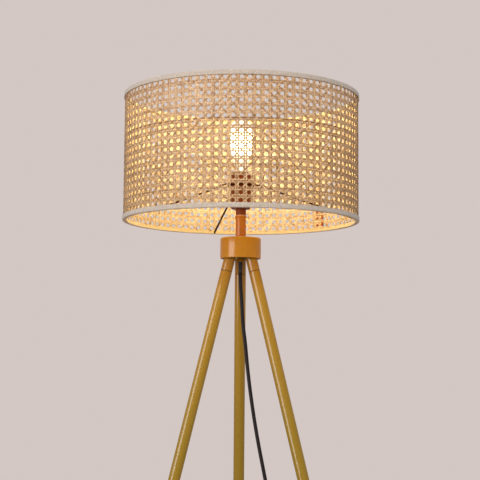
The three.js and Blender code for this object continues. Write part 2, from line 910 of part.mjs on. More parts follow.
function plugGeometry() {
  const half = plugWidth / 2;
  const neck = plugNeckWidth / 2;
  const body = raised([
    [-half, 0, plugFillet],
    [half, 0, plugFillet],
    [half, plugLength / 2, plugLength / 4],
    [neck, plugLength, plugFillet],
    [-neck, plugLength, plugFillet],
    [-half, plugLength / 2, plugLength / 4],
  ], -plugThickness / 2, plugThickness);
  const taper = turned([
    [0, plugLength - plugFillet],
    [neck - seatGap, plugLength - plugFillet],
    [reliefEndDiameter / 2, plugLength + plugReliefLength],
    [0, plugLength + plugReliefLength],
  ], pinSteps).rotateX(-Math.PI / 2);
  return joined(body, taper);
}

// Plug, built with its cord end towards +Y and its pins towards -Y
function makePlug(end, heading) {
  const plug = new THREE.Group();
  const reach = plugLength + plugReliefLength + seatGap;
  plug.position.copy(end).addScaledVector(heading, reach);
  plug.rotation.z = Math.atan2(-heading.x, heading.y) + Math.PI;
  plug.add(piece('plug_body', plugGeometry(), blackPlastic()));
  [-1, 1].forEach((side, i) => {
    const pin = turned([
      [0, seatGap],
      [pinDiameter / 2, seatGap],
      [pinDiameter / 2, pinLength, pinDiameter / 4],
      [0, pinLength],
    ], pinSteps).rotateX(Math.PI / 2);
    const mesh = piece(`plug_pin_${i + 1}`, pin, brightMetal());
    mesh.position.x = (side * pinSpacing) / 2;
    plug.add(mesh);
  });
  return plug;
}

// Flat tie round the turns of the coil, on the side away from the tail
function coilTie(centre, outer) {
  const wide = coilPitch * (coilTurns / 2 + 1) + cordDiameter;
  const tall = cordDiameter + coilLayerRise + 2 * seatGap;
  const inner = raised([
    [-wide / 2, -tall / 2],
    [wide / 2, -tall / 2],
    [wide / 2, tall / 2],
    [-wide / 2, tall / 2],
  ], -cutOverrun, tieWidth + 2 * cutOverrun);
  const skin = tieThickness;
  const block = raised([
    [-wide / 2 - skin, -tall / 2 - skin, skin],
    [wide / 2 + skin, -tall / 2 - skin, skin],
    [wide / 2 + skin, tall / 2 + skin, skin],
    [-wide / 2 - skin, tall / 2 + skin, skin],
  ], -tieWidth / 2, tieWidth);
  return cut(block, inner)
    .rotateX(Math.PI / 2)
    .translate(centre.x + (coilInnerRadius + outer) / 2, centre.y, centre.z + coilLayerRise / 2);
}

function makeCord() {
  const cord = new THREE.Group();
  cord.add(piece('strain_relief', strainRelief(), blackPlastic()));
  cord.add(piece('cord_drop', swept(smooth(cordDrop), cordRadius, wireSides, dropSteps), blackPlastic()));
  cord.add(makeSwitch(cordDrop[cordDrop.length - 1]));
  cord.add(piece('cord_run', swept(smooth(cordRun), cordRadius, wireSides, runSteps), blackPlastic()));

  const runEnd = cordRun[cordRun.length - 1];
  const { points, centre, outer } = coilPoints([runEnd[0] - seatGap, runEnd[1], runEnd[2]]);
  const tail = coilTailPoints(points);
  const route = smooth([...points, ...tail].map((p) => p.toArray()));
  console.log('least gap of the coil to itself, mm:', leastGap(points).toFixed(2));
  const coil = swept(route, cordRadius, wireSides, points.length + tail.length - 1);
  cord.add(piece('cord_coil', coil, blackPlastic()));
  cord.add(piece('coil_tie', coilTie(centre, outer), blackPlastic()));

  const end = tail[tail.length - 1];
  const heading = end.clone().sub(tail[tail.length - 2]).normalize();
  cord.add(makePlug(end, heading));
  return cord;
}

// The lamp's axis stands off the middle of its footprint, because the back leg reaches furthest
function makeLamp() {
  const footSpreadRadius = legRadius + seatGap + footWall + footSpread;
  const backReach = legTopRadius + hubBase * Math.tan(tilt) + footSpreadRadius / Math.cos(tilt);
  const lamp = new THREE.Group();
  lamp.position.y = -(backReach - shadeRadius) / 2;
  lamp.add(makeShade(), makeHolder(), makeHub());
  for (let number = 1; number <= legCount; number += 1) lamp.add(makeLeg(number));
  lamp.add(makeCord());
  return lamp;
}

const group = makeLamp();

export default group;
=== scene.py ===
import math
import random

import bmesh
import bpy
from mathutils import Matrix, Vector


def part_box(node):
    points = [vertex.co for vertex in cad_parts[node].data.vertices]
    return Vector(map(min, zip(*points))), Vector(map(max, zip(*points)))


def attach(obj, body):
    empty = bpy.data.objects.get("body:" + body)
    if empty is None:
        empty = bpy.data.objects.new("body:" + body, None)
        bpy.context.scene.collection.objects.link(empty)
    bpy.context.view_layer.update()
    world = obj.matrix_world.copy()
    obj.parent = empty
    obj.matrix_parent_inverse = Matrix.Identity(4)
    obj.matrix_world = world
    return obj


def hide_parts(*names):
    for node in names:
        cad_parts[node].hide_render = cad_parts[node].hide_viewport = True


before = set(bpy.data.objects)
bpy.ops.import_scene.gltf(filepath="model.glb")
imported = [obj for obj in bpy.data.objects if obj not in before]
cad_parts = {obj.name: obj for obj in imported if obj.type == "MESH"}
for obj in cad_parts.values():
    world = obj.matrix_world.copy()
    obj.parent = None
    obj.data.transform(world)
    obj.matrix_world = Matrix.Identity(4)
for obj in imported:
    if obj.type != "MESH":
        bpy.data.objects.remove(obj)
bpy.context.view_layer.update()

# The lamp's frame: shapes are drawn in millimetres about the lamp's own axis, with the floor at
# zero. The axis stands off the middle of the footprint, because the back leg reaches furthest.
MM = 0.001
hub_low, hub_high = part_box("hub_shell")
AXIS_Y = (hub_low.y + hub_high.y) / 2
LAMP = Matrix.Translation((0, AXIS_Y, 0)) @ Matrix.Scale(MM, 4)

# The camera stands where the photographer did: about chest height, 2.4 m in front of the shade,
# tipped up a little and rolled half a degree.
PHOTO_PIXELS = 480
FOCAL_PIXELS = 1257
SENSOR = 36
CAMERA_SPOT = (-1.2, -2398, 972)
CAMERA_PITCH = 5.92
CAMERA_ROLL = 0.45

camera_data = bpy.data.cameras.new("photo_camera")
camera_data.sensor_fit = "HORIZONTAL"
camera_data.sensor_width = SENSOR
camera_data.lens = SENSOR * FOCAL_PIXELS / PHOTO_PIXELS
camera = bpy.data.objects.new("photo_camera", camera_data)
bpy.context.scene.collection.objects.link(camera)
camera.matrix_world = (
    Matrix.Translation(LAMP @ Vector(CAMERA_SPOT))
    @ Matrix.Rotation(math.radians(90 + CAMERA_PITCH), 4, "X")
    @ Matrix.Rotation(math.radians(CAMERA_ROLL), 4, "Z")
)
bpy.context.scene.camera = camera

# Supply cord: black PVC lead, 7 mm thick and 2.6 m long. It hangs from the stem under the hub,
# sweeps down to the floor, passes through the foot switch and ends in a tied coil and its plug.
CORD_DIAMETER = 7
CORD_DROP = [
    (0, 0, 1158.7), (0.4, 0, 1138), (3, 0, 1103), (6, 0, 1058), (10, 0, 1026), (16, 0, 968),
    (24, 0, 908), (34, 0, 848), (45, 0, 792), (59, 1, 724), (78, 3, 640), (100, 7, 548),
    (123, 12, 456), (146, 18, 364), (168, 26, 274), (188, 36, 188), (205, 49, 112), (218, 66, 55),
    (228, 88, 20), (235, 115, 5.8), (238.5, 145, 4.2), (240, 175, 4.6), (240, 188, 4.6),
]
CORD_RUN = [
    (240, 294.6, 4.6), (240, 308, 4.4), (236, 329, 3.8), (222, 348, 3.8), (201, 357, 4.2),
    (180, 358, 4.7), (164, 358, 4.9),
]
SEAT_GAP = 0.3
COIL_INNER_RADIUS = 31.5
COIL_PITCH = 7.8
COIL_RISE = 7.6
COIL_TURNS = 4.25
STEPS_PER_TURN = 24
TAIL_LENGTH = 46
TAIL_DROP = 5.2


def coil_points(start):
    """In over the lower layer, up in the half turn at the middle, and out over the upper layer."""
    middle = COIL_TURNS * math.pi
    outer = COIL_INNER_RADIUS + COIL_PITCH * COIL_TURNS / 2
    centre = Vector((start.x - CORD_DIAMETER, start.y - outer, start.z))
    points = [start]
    for step in range(round(COIL_TURNS * STEPS_PER_TURN) + 1):
        turn = 2 * math.pi * step / STEPS_PER_TURN
        away = turn - middle
        radius = COIL_INNER_RADIUS + COIL_PITCH * abs(away) / (2 * math.pi)
        share = min(max(away / math.pi + 0.5, 0), 1)
        climb = COIL_RISE * share * share * (3 - 2 * share)
        angle = math.pi / 2 + turn
        points.append(centre + Vector((radius * math.cos(angle), radius * math.sin(angle), climb)))
    return points


coil = coil_points(Vector(CORD_RUN[-1]) - Vector((SEAT_GAP, 0, 0)))
tail_heading = (coil[-1] - coil[-2]) * Vector((1, 1, 0))
tail_heading.normalize()
tail = [
    coil[-1] + tail_heading * (TAIL_LENGTH * share) - Vector((0, 0, TAIL_DROP * drop))
    for share, drop in ((0.25, 0), (0.5, 0.5), (0.75, 1), (0.87, 1), (1, 1))
]
cord_route = [Vector(p) for p in CORD_DROP + CORD_RUN[:-1]] + coil + tail


def wire_along(name, points, diameter, material, sides=4):
    """A cord or wire as a curve through its points, with closed ends."""
    curve = bpy.data.curves.new(name, "CURVE")
    curve.dimensions = "3D"
    curve.bevel_depth = diameter / 2 * MM
    curve.bevel_resolution = sides
    curve.resolution_u = 6
    curve.use_fill_caps = True
    spline = curve.splines.new("BEZIER")
    spline.bezier_points.add(len(points) - 1)
    for knot, point in zip(spline.bezier_points, points):
        knot.co = LAMP @ Vector(point)
        knot.handle_left_type = knot.handle_right_type = "AUTO"
    curve.materials.append(material)
    wire = bpy.data.objects.new(name, curve)
    bpy.context.scene.collection.objects.link(wire)
    return wire


def fed(tree, node, inputs):
    """Links or sets inputs of a shader node, by name or number."""
    for socket, source in inputs.items():
        if isinstance(source, bpy.types.NodeSocket):
            tree.links.new(source, node.inputs[socket])
        else:
            node.inputs[socket].default_value = source
    return node


def added(tree, kind, inputs, **settings):
    """Adds a shader node to a finish, with its settings and inputs."""
    node = tree.nodes.new(f"ShaderNode{kind}")
    for setting, value in settings.items():
        setattr(node, setting, value)
    return fed(tree, node, inputs)


def toned(tree, factor, stops, interpolation="LINEAR"):
    """Colours that run through stops of (position, colour)."""
    ramp = added(tree, "ValToRGB", {"Fac": factor})
    ramp.color_ramp.interpolation = interpolation
    for end, (position, colour) in zip(ramp.color_ramp.elements, (stops[0], stops[-1])):
        end.position = position
        end.color = (*colour, 1)
    for position, colour in stops[1:-1]:
        ramp.color_ramp.elements.new(position).color = (*colour, 1)
    return ramp.outputs["Color"]


def grained(
    name, dark, light, grain, roughness, bump=0.1, metallic=0.0, depth=0.0002, specular=0.5
):
    """A finish whose colour, gloss and surface vary with a fine grain, in grains per metre."""
    material = bpy.data.materials.new(name)
    material.use_nodes = True
    tree = material.node_tree
    place = added(tree, "TexCoord", {})
    noise = added(tree, "TexNoise", {
        "Vector": place.outputs["Object"], "Scale": grain, "Detail": 4,
    }).outputs["Fac"]
    gloss = added(tree, "MapRange", {
        "Value": noise, "To Min": roughness * 0.88, "To Max": roughness * 1.12,
    })
    relief = added(tree, "Bump", {"Height": noise, "Strength": bump, "Distance": depth})
    fed(tree, tree.nodes["Principled BSDF"], {
        "Base Color": toned(tree, noise, [(0.3, dark), (0.7, light)]),
        "Roughness": gloss.outputs["Result"], "Normal": relief.outputs["Normal"],
        "Metallic": metallic, "Specular IOR Level": specular,
    })
    return material


def stands_for(piece, slot, *nodes, body="lamp"):
    """Fixes a finished piece to its body, in place of the solids that it stands for. The slot is
    not used.
    """
    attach(piece, body)
    if nodes:
        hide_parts(*nodes)
    return piece


pvc_sheath = grained(
    "pvc_sheath", (0.013, 0.009, 0.01), (0.02, 0.014, 0.015), 900, 0.42, specular=0.12
)
cord = wire_along("supply_cord", cord_route, CORD_DIAMETER, pvc_sheath)
stands_for(cord, "cord_sheath", "cord_drop", "cord_run", "cord_coil")

# Strain relief: a slim tapered sleeve of soft black plastic, pushed into the stem's nut. Shallow
# grooves let it bend with the cord.
moulded_black = grained(
    "moulded_black", (0.009, 0.009, 0.01), (0.016, 0.016, 0.017), 2600, 0.5, 0.2
)


def level(node, top=True):
    """Height in mm of a node's top or underside."""
    low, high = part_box(node)
    return (high if top else low).z / MM


RELIEF_TOP = level("strain_relief")
RELIEF_END = level("strain_relief", top=False)
RELIEF_TOP_RADIUS = 3.9
RELIEF_END_RADIUS = 3.6
RELIEF_BORE = 3.1
GROOVES = 4


def rounded(shape, geom, radius, segments, affect="EDGES"):
    """Rounds edges or corners of a bmesh."""
    bmesh.ops.bevel(
        shape, geom=geom, offset=radius, offset_type="OFFSET", segments=segments, profile=0.5,
        affect=affect, material=-1,
    )


def turned(name, corners, material, steps=72, place=LAMP, cut=None, sharp=40):
    """Spins an outline of (radius, height) or (radius, height, fillet) corners about the axis.
    An outline that starts on the axis ends there, and any other closes on itself."""
    shape = bmesh.new()
    verts = [shape.verts.new((corner[0], 0, corner[1])) for corner in corners]
    for start, end in zip(verts, verts[1:]):
        shape.edges.new((start, end))
    if corners[0][0] > 0:
        shape.edges.new((verts[-1], verts[0]))
    for vert, corner in zip(verts, corners):
        if len(corner) == 3:
            rounded(shape, [vert], corner[2], 4, "VERTICES")
    bmesh.ops.spin(
        shape, geom=shape.verts[:] + shape.edges[:], cent=(0, 0, 0), axis=(0, 0, 1),
        angle=2 * math.pi, steps=steps, use_merge=True,
    )
    return piece_from(shape, name, material, place, cut, sharp)


def piece_from(shape, name, material, place=LAMP, cut=None, sharp=40):
    """Makes a finished piece from a bmesh drawn in mm, cut level where cut gives a height in mm
    and the side to keep, with smooth faces between its sharp edges."""
    bmesh.ops.remove_doubles(shape, verts=shape.verts[:], dist=0.001)
    bmesh.ops.dissolve_degenerate(shape, edges=shape.edges[:], dist=0.001)
    bmesh.ops.recalc_face_normals(shape, faces=shape.faces[:])
    bmesh.ops.transform(shape, matrix=place, verts=shape.verts[:])
    if cut:
        height, keep = cut
        found = bmesh.ops.bisect_plane(
            shape, geom=shape.verts[:] + shape.edges[:] + shape.faces[:], dist=1e-7,
            plane_co=(0, 0, height * MM), plane_no=(0, 0, -keep), clear_outer=True,
        )
        rim = [edge for edge in found["geom_cut"] if isinstance(edge, bmesh.types.BMEdge)]
        bmesh.ops.holes_fill(shape, edges=rim, sides=0)
        bmesh.ops.recalc_face_normals(shape, faces=shape.faces[:])
    mesh = bpy.data.meshes.new(name)
    shape.to_mesh(mesh)
    shape.free()
    mesh.shade_smooth()
    mesh.set_sharp_from_angle(angle=math.radians(sharp))
    mesh.materials.append(material)
    piece = bpy.data.objects.new(name, mesh)
    bpy.context.scene.collection.objects.link(piece)
    return piece


def grooved_taper(top, end, top_radius, end_radius, bore, grooves):
    """Outline of a tapered sleeve with grooves cut in its lower two thirds."""
    outline = [(bore, top), (top_radius, top, 0.3)]
    for groove in range(grooves):
        for edge, depth in ((0.3, 0), (0.38, 0.45), (0.46, 0.45), (0.54, 0)):
            share = 0.22 + (groove + edge) * 0.72 / grooves
            radius = top_radius + (end_radius - top_radius) * share
            outline.append((radius - depth, top + (end - top) * share))
    outline += [(end_radius, end, 0.3), (bore, end)]
    return outline


relief_outline = grooved_taper(
    RELIEF_TOP, RELIEF_END, RELIEF_TOP_RADIUS, RELIEF_END_RADIUS, RELIEF_BORE, GROOVES
)
relief = turned("strain_relief_sleeve", relief_outline, moulded_black, 48)
stands_for(relief, "black_plastic", "strain_relief")

# Foot switch: an oval black housing in two moulded halves, with a short cord guard at each end
# and a round push button in the upper half. The button has a hollow for the toe.
base_low, base_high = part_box("switch_base")
cover_low, cover_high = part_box("switch_cover")


def middle_of(node):
    """Middle of a node in mm from the lamp's axis, at the level of the floor."""
    low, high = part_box(node)
    return Vector(((low.x + high.x) / 2 / MM, ((low.y + high.y) / 2 - AXIS_Y) / MM, 0))


SWITCH_SPOT = middle_of("switch_cover")
SWITCH_WIDTH = (cover_high.x - cover_low.x) / MM
SWITCH_LENGTH = (cover_high.y - cover_low.y) / MM
SWITCH_JOINT = base_high.z / MM
SWITCH_TOP = cover_high.z / MM
GUARD_LENGTH = ((base_high.y - base_low.y) / MM - SWITCH_LENGTH) / 2
GUARD_ROOT_RADIUS = 6
GUARD_RADIUS = 4.4
GUARD_BORE = 3.55
CORD_LEVEL = CORD_DROP[-1][2]
LOWER_ROUND = 1.5
UPPER_ROUND = 5
BUTTON_RADIUS = 14
MOUTH_RADIUS = 14.4


def rise(edge):
    """How far an edge climbs, in mm."""
    return abs(edge.verts[0].co.z - edge.verts[1].co.z)


def oval_block(low, high, edge_round, rounded_face):
    """A block with half-round ends whose top (1) or bottom (-1) rim is rounded."""
    shape = bmesh.new()
    bmesh.ops.create_cube(shape, size=1)
    bmesh.ops.scale(shape, vec=(SWITCH_WIDTH, SWITCH_LENGTH, high - low), verts=shape.verts[:])
    rounded(shape, [edge for edge in shape.edges if rise(edge) > 1], SWITCH_WIDTH / 2 - 0.5, 10)
    rim = [
        edge for edge in shape.edges
        if all(vert.co.z * rounded_face > (high - low) / 2 - 0.01 for vert in edge.verts)
    ]
    rounded(shape, rim, edge_round, 5)
    spot = (SWITCH_SPOT.x, SWITCH_SPOT.y, (high + low) / 2)
    bmesh.ops.translate(shape, vec=spot, verts=shape.verts[:])
    return shape


def drilled(piece, centre, radius, low, high):
    """Cuts a round upright hole into a finished piece."""
    shape = bmesh.new()
    bmesh.ops.create_cone(
        shape, cap_ends=True, segments=64, radius1=radius, radius2=radius, depth=high - low
    )
    bmesh.ops.translate(shape, vec=(centre[0], centre[1], (low + high) / 2), verts=shape.verts[:])
    drill = piece_from(shape, "drill", moulded_black)
    hole = piece.modifiers.new("hole", "BOOLEAN")
    hole.object = drill
    hole.solver = "EXACT"
    graph = bpy.context.evaluated_depsgraph_get()
    piece.data = bpy.data.meshes.new_from_object(piece.evaluated_get(graph))
    piece.modifiers.clear()
    bpy.data.objects.remove(drill)
    piece.data.set_sharp_from_angle(angle=math.radians(40))


switch_lower = piece_from(
    oval_block(0.2, SWITCH_JOINT, LOWER_ROUND, -1), "switch_lower_half", moulded_black
)
stands_for(switch_lower, "black_plastic", "switch_base")
switch_upper = piece_from(
    oval_block(SWITCH_JOINT + SEAT_GAP, SWITCH_TOP, UPPER_ROUND, 1), "switch_upper_half",
    moulded_black,
)
drilled(switch_upper, SWITCH_SPOT, MOUTH_RADIUS, SWITCH_JOINT + 3, SWITCH_TOP + 5)
stands_for(switch_upper, "black_plastic", "switch_cover")

guard_outline = grooved_taper(0, GUARD_LENGTH, GUARD_ROOT_RADIUS, GUARD_RADIUS, GUARD_BORE, 3)
for end, way in (("front", -1), ("rear", 1)):
    spot = Matrix.Translation(SWITCH_SPOT + Vector((0, way * SWITCH_LENGTH / 2, CORD_LEVEL)))
    guard = turned(
        f"switch_guard_{end}", guard_outline, moulded_black, 32,
        LAMP @ spot @ Matrix.Rotation(-way * math.pi / 2, 4, "X"), (0.2, 1),
    )
    stands_for(guard, "black_plastic")

button_top = level("switch_button")
button = turned("switch_push_button", [
    (0, button_top - 0.9), (BUTTON_RADIUS * 0.62, button_top - 0.7, 1.5),
    (BUTTON_RADIUS - 2.5, button_top, 1.2), (BUTTON_RADIUS, button_top, 1.4),
    (BUTTON_RADIUS, SWITCH_JOINT + 6.5), (0, SWITCH_JOINT + 6.5),
], moulded_black, 64, LAMP @ Matrix.Translation(SWITCH_SPOT))
stands_for(button, "black_plastic", "switch_button", body="button")

# Plug: a flat moulded body with waisted shoulders, two round plated pins with insulated roots,
# and a grooved guard where the cord goes in. It lies on the floor beside the coil.
PLUG_WIDTH = 34
PLUG_NECK = 15
PLUG_LENGTH = 36
PLUG_SHOULDER = PLUG_LENGTH * 0.45
PLUG_THICKNESS = 14
PLUG_ROUND = 5
PLUG_EDGE = 3
PLUG_GUARD = 22
PIN_SPACING = 18.6
PIN_LENGTH = 19
PIN_RADIUS = 2

plug_turn = math.atan2(-tail_heading.x, tail_heading.y) + math.pi
plug_spot = tail[-1] + tail_heading * (PLUG_LENGTH + PLUG_GUARD + SEAT_GAP)
PLUG_PLACE = LAMP @ Matrix.Translation(plug_spot) @ Matrix.Rotation(plug_turn, 4, "Z")

plated_steel = grained(
    "plated_steel", (0.55, 0.54, 0.51), (0.66, 0.65, 0.62), 700, 0.24, 0.05, metallic=1.0
)


def verts_in(geom):
    return [part for part in geom if isinstance(part, bmesh.types.BMVert)]


shape = bmesh.new()
plug_outline = [
    (-PLUG_WIDTH / 2, 0), (PLUG_WIDTH / 2, 0), (PLUG_WIDTH / 2, PLUG_SHOULDER),
    (PLUG_NECK / 2, PLUG_LENGTH), (-PLUG_NECK / 2, PLUG_LENGTH), (-PLUG_WIDTH / 2, PLUG_SHOULDER),
]
face = shape.faces.new([shape.verts.new((x, y, -PLUG_THICKNESS / 2)) for x, y in plug_outline])
raised = verts_in(bmesh.ops.extrude_face_region(shape, geom=[face])["geom"])
bmesh.ops.translate(shape, vec=(0, 0, PLUG_THICKNESS), verts=raised)
bmesh.ops.recalc_face_normals(shape, faces=shape.faces[:])
rounded(shape, [edge for edge in shape.edges if rise(edge) > 1], PLUG_ROUND, 6)
rounded(shape, [edge for edge in shape.edges if rise(edge) < 0.01], PLUG_EDGE, 4)
plug = piece_from(shape, "plug_moulding", moulded_black, PLUG_PLACE)
stands_for(plug, "black_plastic", "plug_body")

plug_guard = turned(
    "plug_cord_guard", grooved_taper(-2, PLUG_GUARD, 6.4, 4.1, GUARD_BORE, 5), moulded_black, 40,
    PLUG_PLACE @ Matrix.Translation((0, PLUG_LENGTH, 0)) @ Matrix.Rotation(-math.pi / 2, 4, "X"),
)
stands_for(plug_guard, "black_plastic")
for number, way in ((1, -1), (2, 1)):
    spot = Matrix.Translation((way * PIN_SPACING / 2, 0, 0)) @ Matrix.Rotation(math.pi / 2, 4, "X")
    pin = turned(f"pin_{number}", [
        (0, 0), (PIN_RADIUS, 0), (PIN_RADIUS, PIN_LENGTH, 1.1), (0, PIN_LENGTH),
    ], plated_steel, 32, PLUG_PLACE @ spot)
    stands_for(pin, "bright_metal", f"plug_pin_{number}")
    root = turned(f"pin_root_{number}", [
        (PIN_RADIUS - 0.1, 0), (PIN_RADIUS + 0.15, 0), (PIN_RADIUS + 0.15, PIN_LENGTH / 2, 0.1),
        (PIN_RADIUS - 0.1, PIN_LENGTH / 2),
    ], moulded_black, 32, PLUG_PLACE @ spot)
    stands_for(root, "black_plastic")

# Tie: a flat strap of soft black plastic wrapped once round the turns of the coil to hold them
# together. It is a closed band with rounded corners, thickened outwards.
TIE_SKIN = 0.9
TIE_ROUND = 3.2
tie_low, tie_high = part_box("coil_tie")
tie_middle = middle_of("coil_tie")
tie_x = (tie_high.x - tie_low.x) / MM / 2 - TIE_SKIN
tie_width = (tie_high.y - tie_low.y) / MM
tie_bottom = tie_low.z / MM + TIE_SKIN
tie_top = tie_high.z / MM - TIE_SKIN
shape = bmesh.new()
corners = [
    shape.verts.new((tie_middle.x + x, tie_middle.y - tie_width / 2, z))
    for x, z in ((-tie_x, tie_bottom), (tie_x, tie_bottom), (tie_x, tie_top), (-tie_x, tie_top))
]
for index, corner in enumerate(corners):
    shape.edges.new((corner, corners[index - 1]))
rounded(shape, corners, TIE_ROUND, 6, "VERTICES")
grown = bmesh.ops.extrude_edge_only(shape, edges=shape.edges[:])["geom"]
bmesh.ops.translate(shape, vec=(0, tie_width, 0), verts=verts_in(grown))
strap = piece_from(shape, "coil_strap", moulded_black)
skin = strap.modifiers.new("strap_thickness", "SOLIDIFY")
skin.thickness = TIE_SKIN * MM
skin.offset = 1
stands_for(strap, "black_plastic", "coil_tie")

# Rubber feet: black cups pushed on the ends of the legs, worn level with the floor. Their sides
# flare a little towards the ground.
LEG_TILT = math.radians(15.3)
LEG_TOP_RADIUS = 23.9
LEG_ANGLES = {1: 90, 2: 210, 3: 330}
LEG_RADIUS = 10.8
HUB_BASE = level("hub_shell", top=False)
FOOT_GRIP = 18
FOOT_WALL = 2.3
FOOT_FLARE = 3.3
FOOT_CUT = 25
LEG_END = -(HUB_BASE - LEG_RADIUS * math.sin(LEG_TILT) - 5) / math.cos(LEG_TILT)

foot_rubber = grained("foot_rubber", (0.011, 0.01, 0.01), (0.02, 0.019, 0.018), 1500, 0.78, 0.35)


def leg_place(number):
    """Z runs up the leg, from where its axis meets the level of the hub's underside."""
    return (
        LAMP
        @ Matrix.Rotation(math.radians(LEG_ANGLES[number]), 4, "Z")
        @ Matrix.Translation((LEG_TOP_RADIUS, 0, HUB_BASE))
        @ Matrix.Rotation(-LEG_TILT, 4, "Y")
    )


for number in LEG_ANGLES:
    foot = turned(f"foot_cup_{number}", [
        (0, LEG_END - FOOT_CUT), (LEG_RADIUS + FOOT_FLARE, LEG_END - FOOT_CUT),
        (LEG_RADIUS + FOOT_FLARE, LEG_END, 3), (LEG_RADIUS + 2.5, LEG_END + 2.5),
        (LEG_RADIUS + FOOT_WALL, LEG_END + FOOT_GRIP, 1),
        (LEG_RADIUS + 0.1, LEG_END + FOOT_GRIP), (LEG_RADIUS + 0.1, LEG_END), (0, LEG_END),
    ], foot_rubber, 64, leg_place(number), (0, 1))
    stands_for(foot, "foot_rubber", f"rubber_foot_{number}")

# Legs: drawn steel tubes in two lengths, screwed together end to end on black spigots, in a satin
# ochre lacquer. Each upper tube screws on a short socket welded to the hub's plate.
SOCKET_REACH = 26
SOCKET_WALL = 5
TUBE_WALL = 1.2
UPPER_LENGTH = 585
EDGE_ROUND = 0.35
JOINT_GAP = 1
SPIGOT_BORE = 7
SPIGOT_LENGTH = 14
SPIGOT_INSET = 1.4
SOCKET_RISE = 20


def lacquer(name, dark, light, coat=0.6):
    """Sprayed satin lacquer under a smooth clear coat."""
    material = grained(name, dark, light, 420, 0.45, 0.02, depth=0.000002, specular=0.05)
    fed(material.node_tree, material.node_tree.nodes["Principled BSDF"], {
        "Coat Weight": coat, "Coat Roughness": 0.15,
    })
    return material


def by_height(tree, low, high, least=0, most=1):
    """A factor that runs from least to most between two heights in metres."""
    place = tree.nodes["Texture Coordinate"].outputs["Object"]
    upwards = added(tree, "SeparateXYZ", {"Vector": place})
    return added(tree, "MapRange", {
        "Value": upwards.outputs["Z"], "From Min": low, "From Max": high,
        "To Min": least, "To Max": most,
    }).outputs["Result"]


def multiplied(tree, colour, by, factor=1):
    """A colour multiplied by another, or by a share of it where factor is below 1."""
    return added(
        tree, "Mix", {"A": colour, "B": by, "Factor": factor}, data_type="RGBA",
        blend_type="MULTIPLY",
    ).outputs["Result"]


# The legs' lacquer is painted warmer close under the lit shade, a painted glow of its light, and
# painted darker and a little greener further down, a painted shade.
PAINTED_LIGHT_LOW = 0.8
PAINTED_LIGHT_HIGH = 1.2
ochre_lacquer = lacquer("ochre_lacquer", (0.332, 0.167, 0.007), (0.36, 0.183, 0.009))
tree = ochre_lacquer.node_tree
# Painted light: a warm glow near the hub, and painted shade lower down.
painted_glow_and_shade = toned(tree, by_height(tree, PAINTED_LIGHT_LOW, PAINTED_LIGHT_HIGH), [
    (0.1, (0.8, 0.91, 0.9)), (0.78, (1, 1, 1)), (0.93, (1, 0.8, 0.62)),
])
fed(tree, tree.nodes["Principled BSDF"], {
    "Base Color": multiplied(tree, tree.nodes["Color Ramp"].outputs["Color"], painted_glow_and_shade),
})


def tube_outline(low, high, wall=TUBE_WALL):
    return [
        (LEG_RADIUS - wall, low), (LEG_RADIUS, low, EDGE_ROUND), (LEG_RADIUS, high, EDGE_ROUND),
        (LEG_RADIUS - wall, high),
    ]


upper_top = -SOCKET_REACH - JOINT_GAP
upper_end = upper_top - UPPER_LENGTH
plate_low = level("hub_plate", top=False)
for number in LEG_ANGLES:
    place = leg_place(number)
    lower_tube = turned(
        f"lower_tube_{number}", tube_outline(LEG_END, upper_end - SEAT_GAP), ochre_lacquer, 64,
        place,
    )
    stands_for(lower_tube, "ochre_metal", f"lower_leg_{number}")
    upper_tube = turned(
        f"upper_tube_{number}", tube_outline(upper_end, upper_top), ochre_lacquer, 64, place
    )
    stands_for(upper_tube, "ochre_metal", f"upper_leg_{number}")
    socket = turned(
        f"socket_{number}", tube_outline(-SOCKET_REACH, SOCKET_RISE, SOCKET_WALL), ochre_lacquer,
        64, place, (plate_low - SEAT_GAP, -1),
    )
    stands_for(socket, "ochre_metal", f"leg_socket_{number}")
    for joint, face in (("upper", -SOCKET_REACH), ("lower", upper_end)):
        spigot = turned(f"{joint}_spigot_{number}", [
            (SPIGOT_BORE, face - SPIGOT_LENGTH),
            (LEG_RADIUS - SPIGOT_INSET, face - SPIGOT_LENGTH, 0.5),
            (LEG_RADIUS - SPIGOT_INSET, face), (SPIGOT_BORE, face),
        ], moulded_black, 48, place)
        stands_for(spigot, "black_plastic")

# Hub: a spun steel cup with a rounded shoulder, closed below by a plate that carries the sockets.
# The cup's lacquer is painted warmer than the legs', a painted glow of the lit shade, and the plate
# is painted dark bronze-brown, a painted shade under the hub. The stem's long nut, in the legs'
# lacquer, and a small yellow passivated screw hold the plate.
HUB_TOP = level("hub_shell")
HUB_WALL = 2
STEM_BORE = 5.3


def radius_of(node):
    """Outer radius in mm of a node that is round about the lamp's axis."""
    low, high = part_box(node)
    return (high.x - low.x) / 2 / MM


HUB_RADIUS = radius_of("hub_shell")
PLATE_RADIUS = radius_of("hub_plate")
# Painted glow: the hub's lacquer is a warmer copy of the legs'.
hub_glow_lacquer = lacquer("hub_glow_lacquer", (0.465, 0.183, 0.003), (0.505, 0.198, 0.004), 0.5)
# Painted shade: the plate is painted dark for the shade under the hub.
plate_painted_shade = lacquer("plate_painted_shade", (0.09, 0.045, 0.008), (0.115, 0.058, 0.01), 0.3)
passivated_steel = grained(
    "passivated_steel", (0.3, 0.19, 0.05), (0.38, 0.25, 0.08), 700, 0.4, 0.05, metallic=1.0
)
hub = turned("hub_cup", [
    (HUB_RADIUS - HUB_WALL, HUB_BASE), (HUB_RADIUS, HUB_BASE, 1.2), (HUB_RADIUS, HUB_TOP, 3.5),
    (STEM_BORE, HUB_TOP), (STEM_BORE, HUB_TOP - HUB_WALL),
    (HUB_RADIUS - HUB_WALL, HUB_TOP - HUB_WALL, 1.5),
], hub_glow_lacquer, 128)
stands_for(hub, "ochre_metal", "hub_shell")

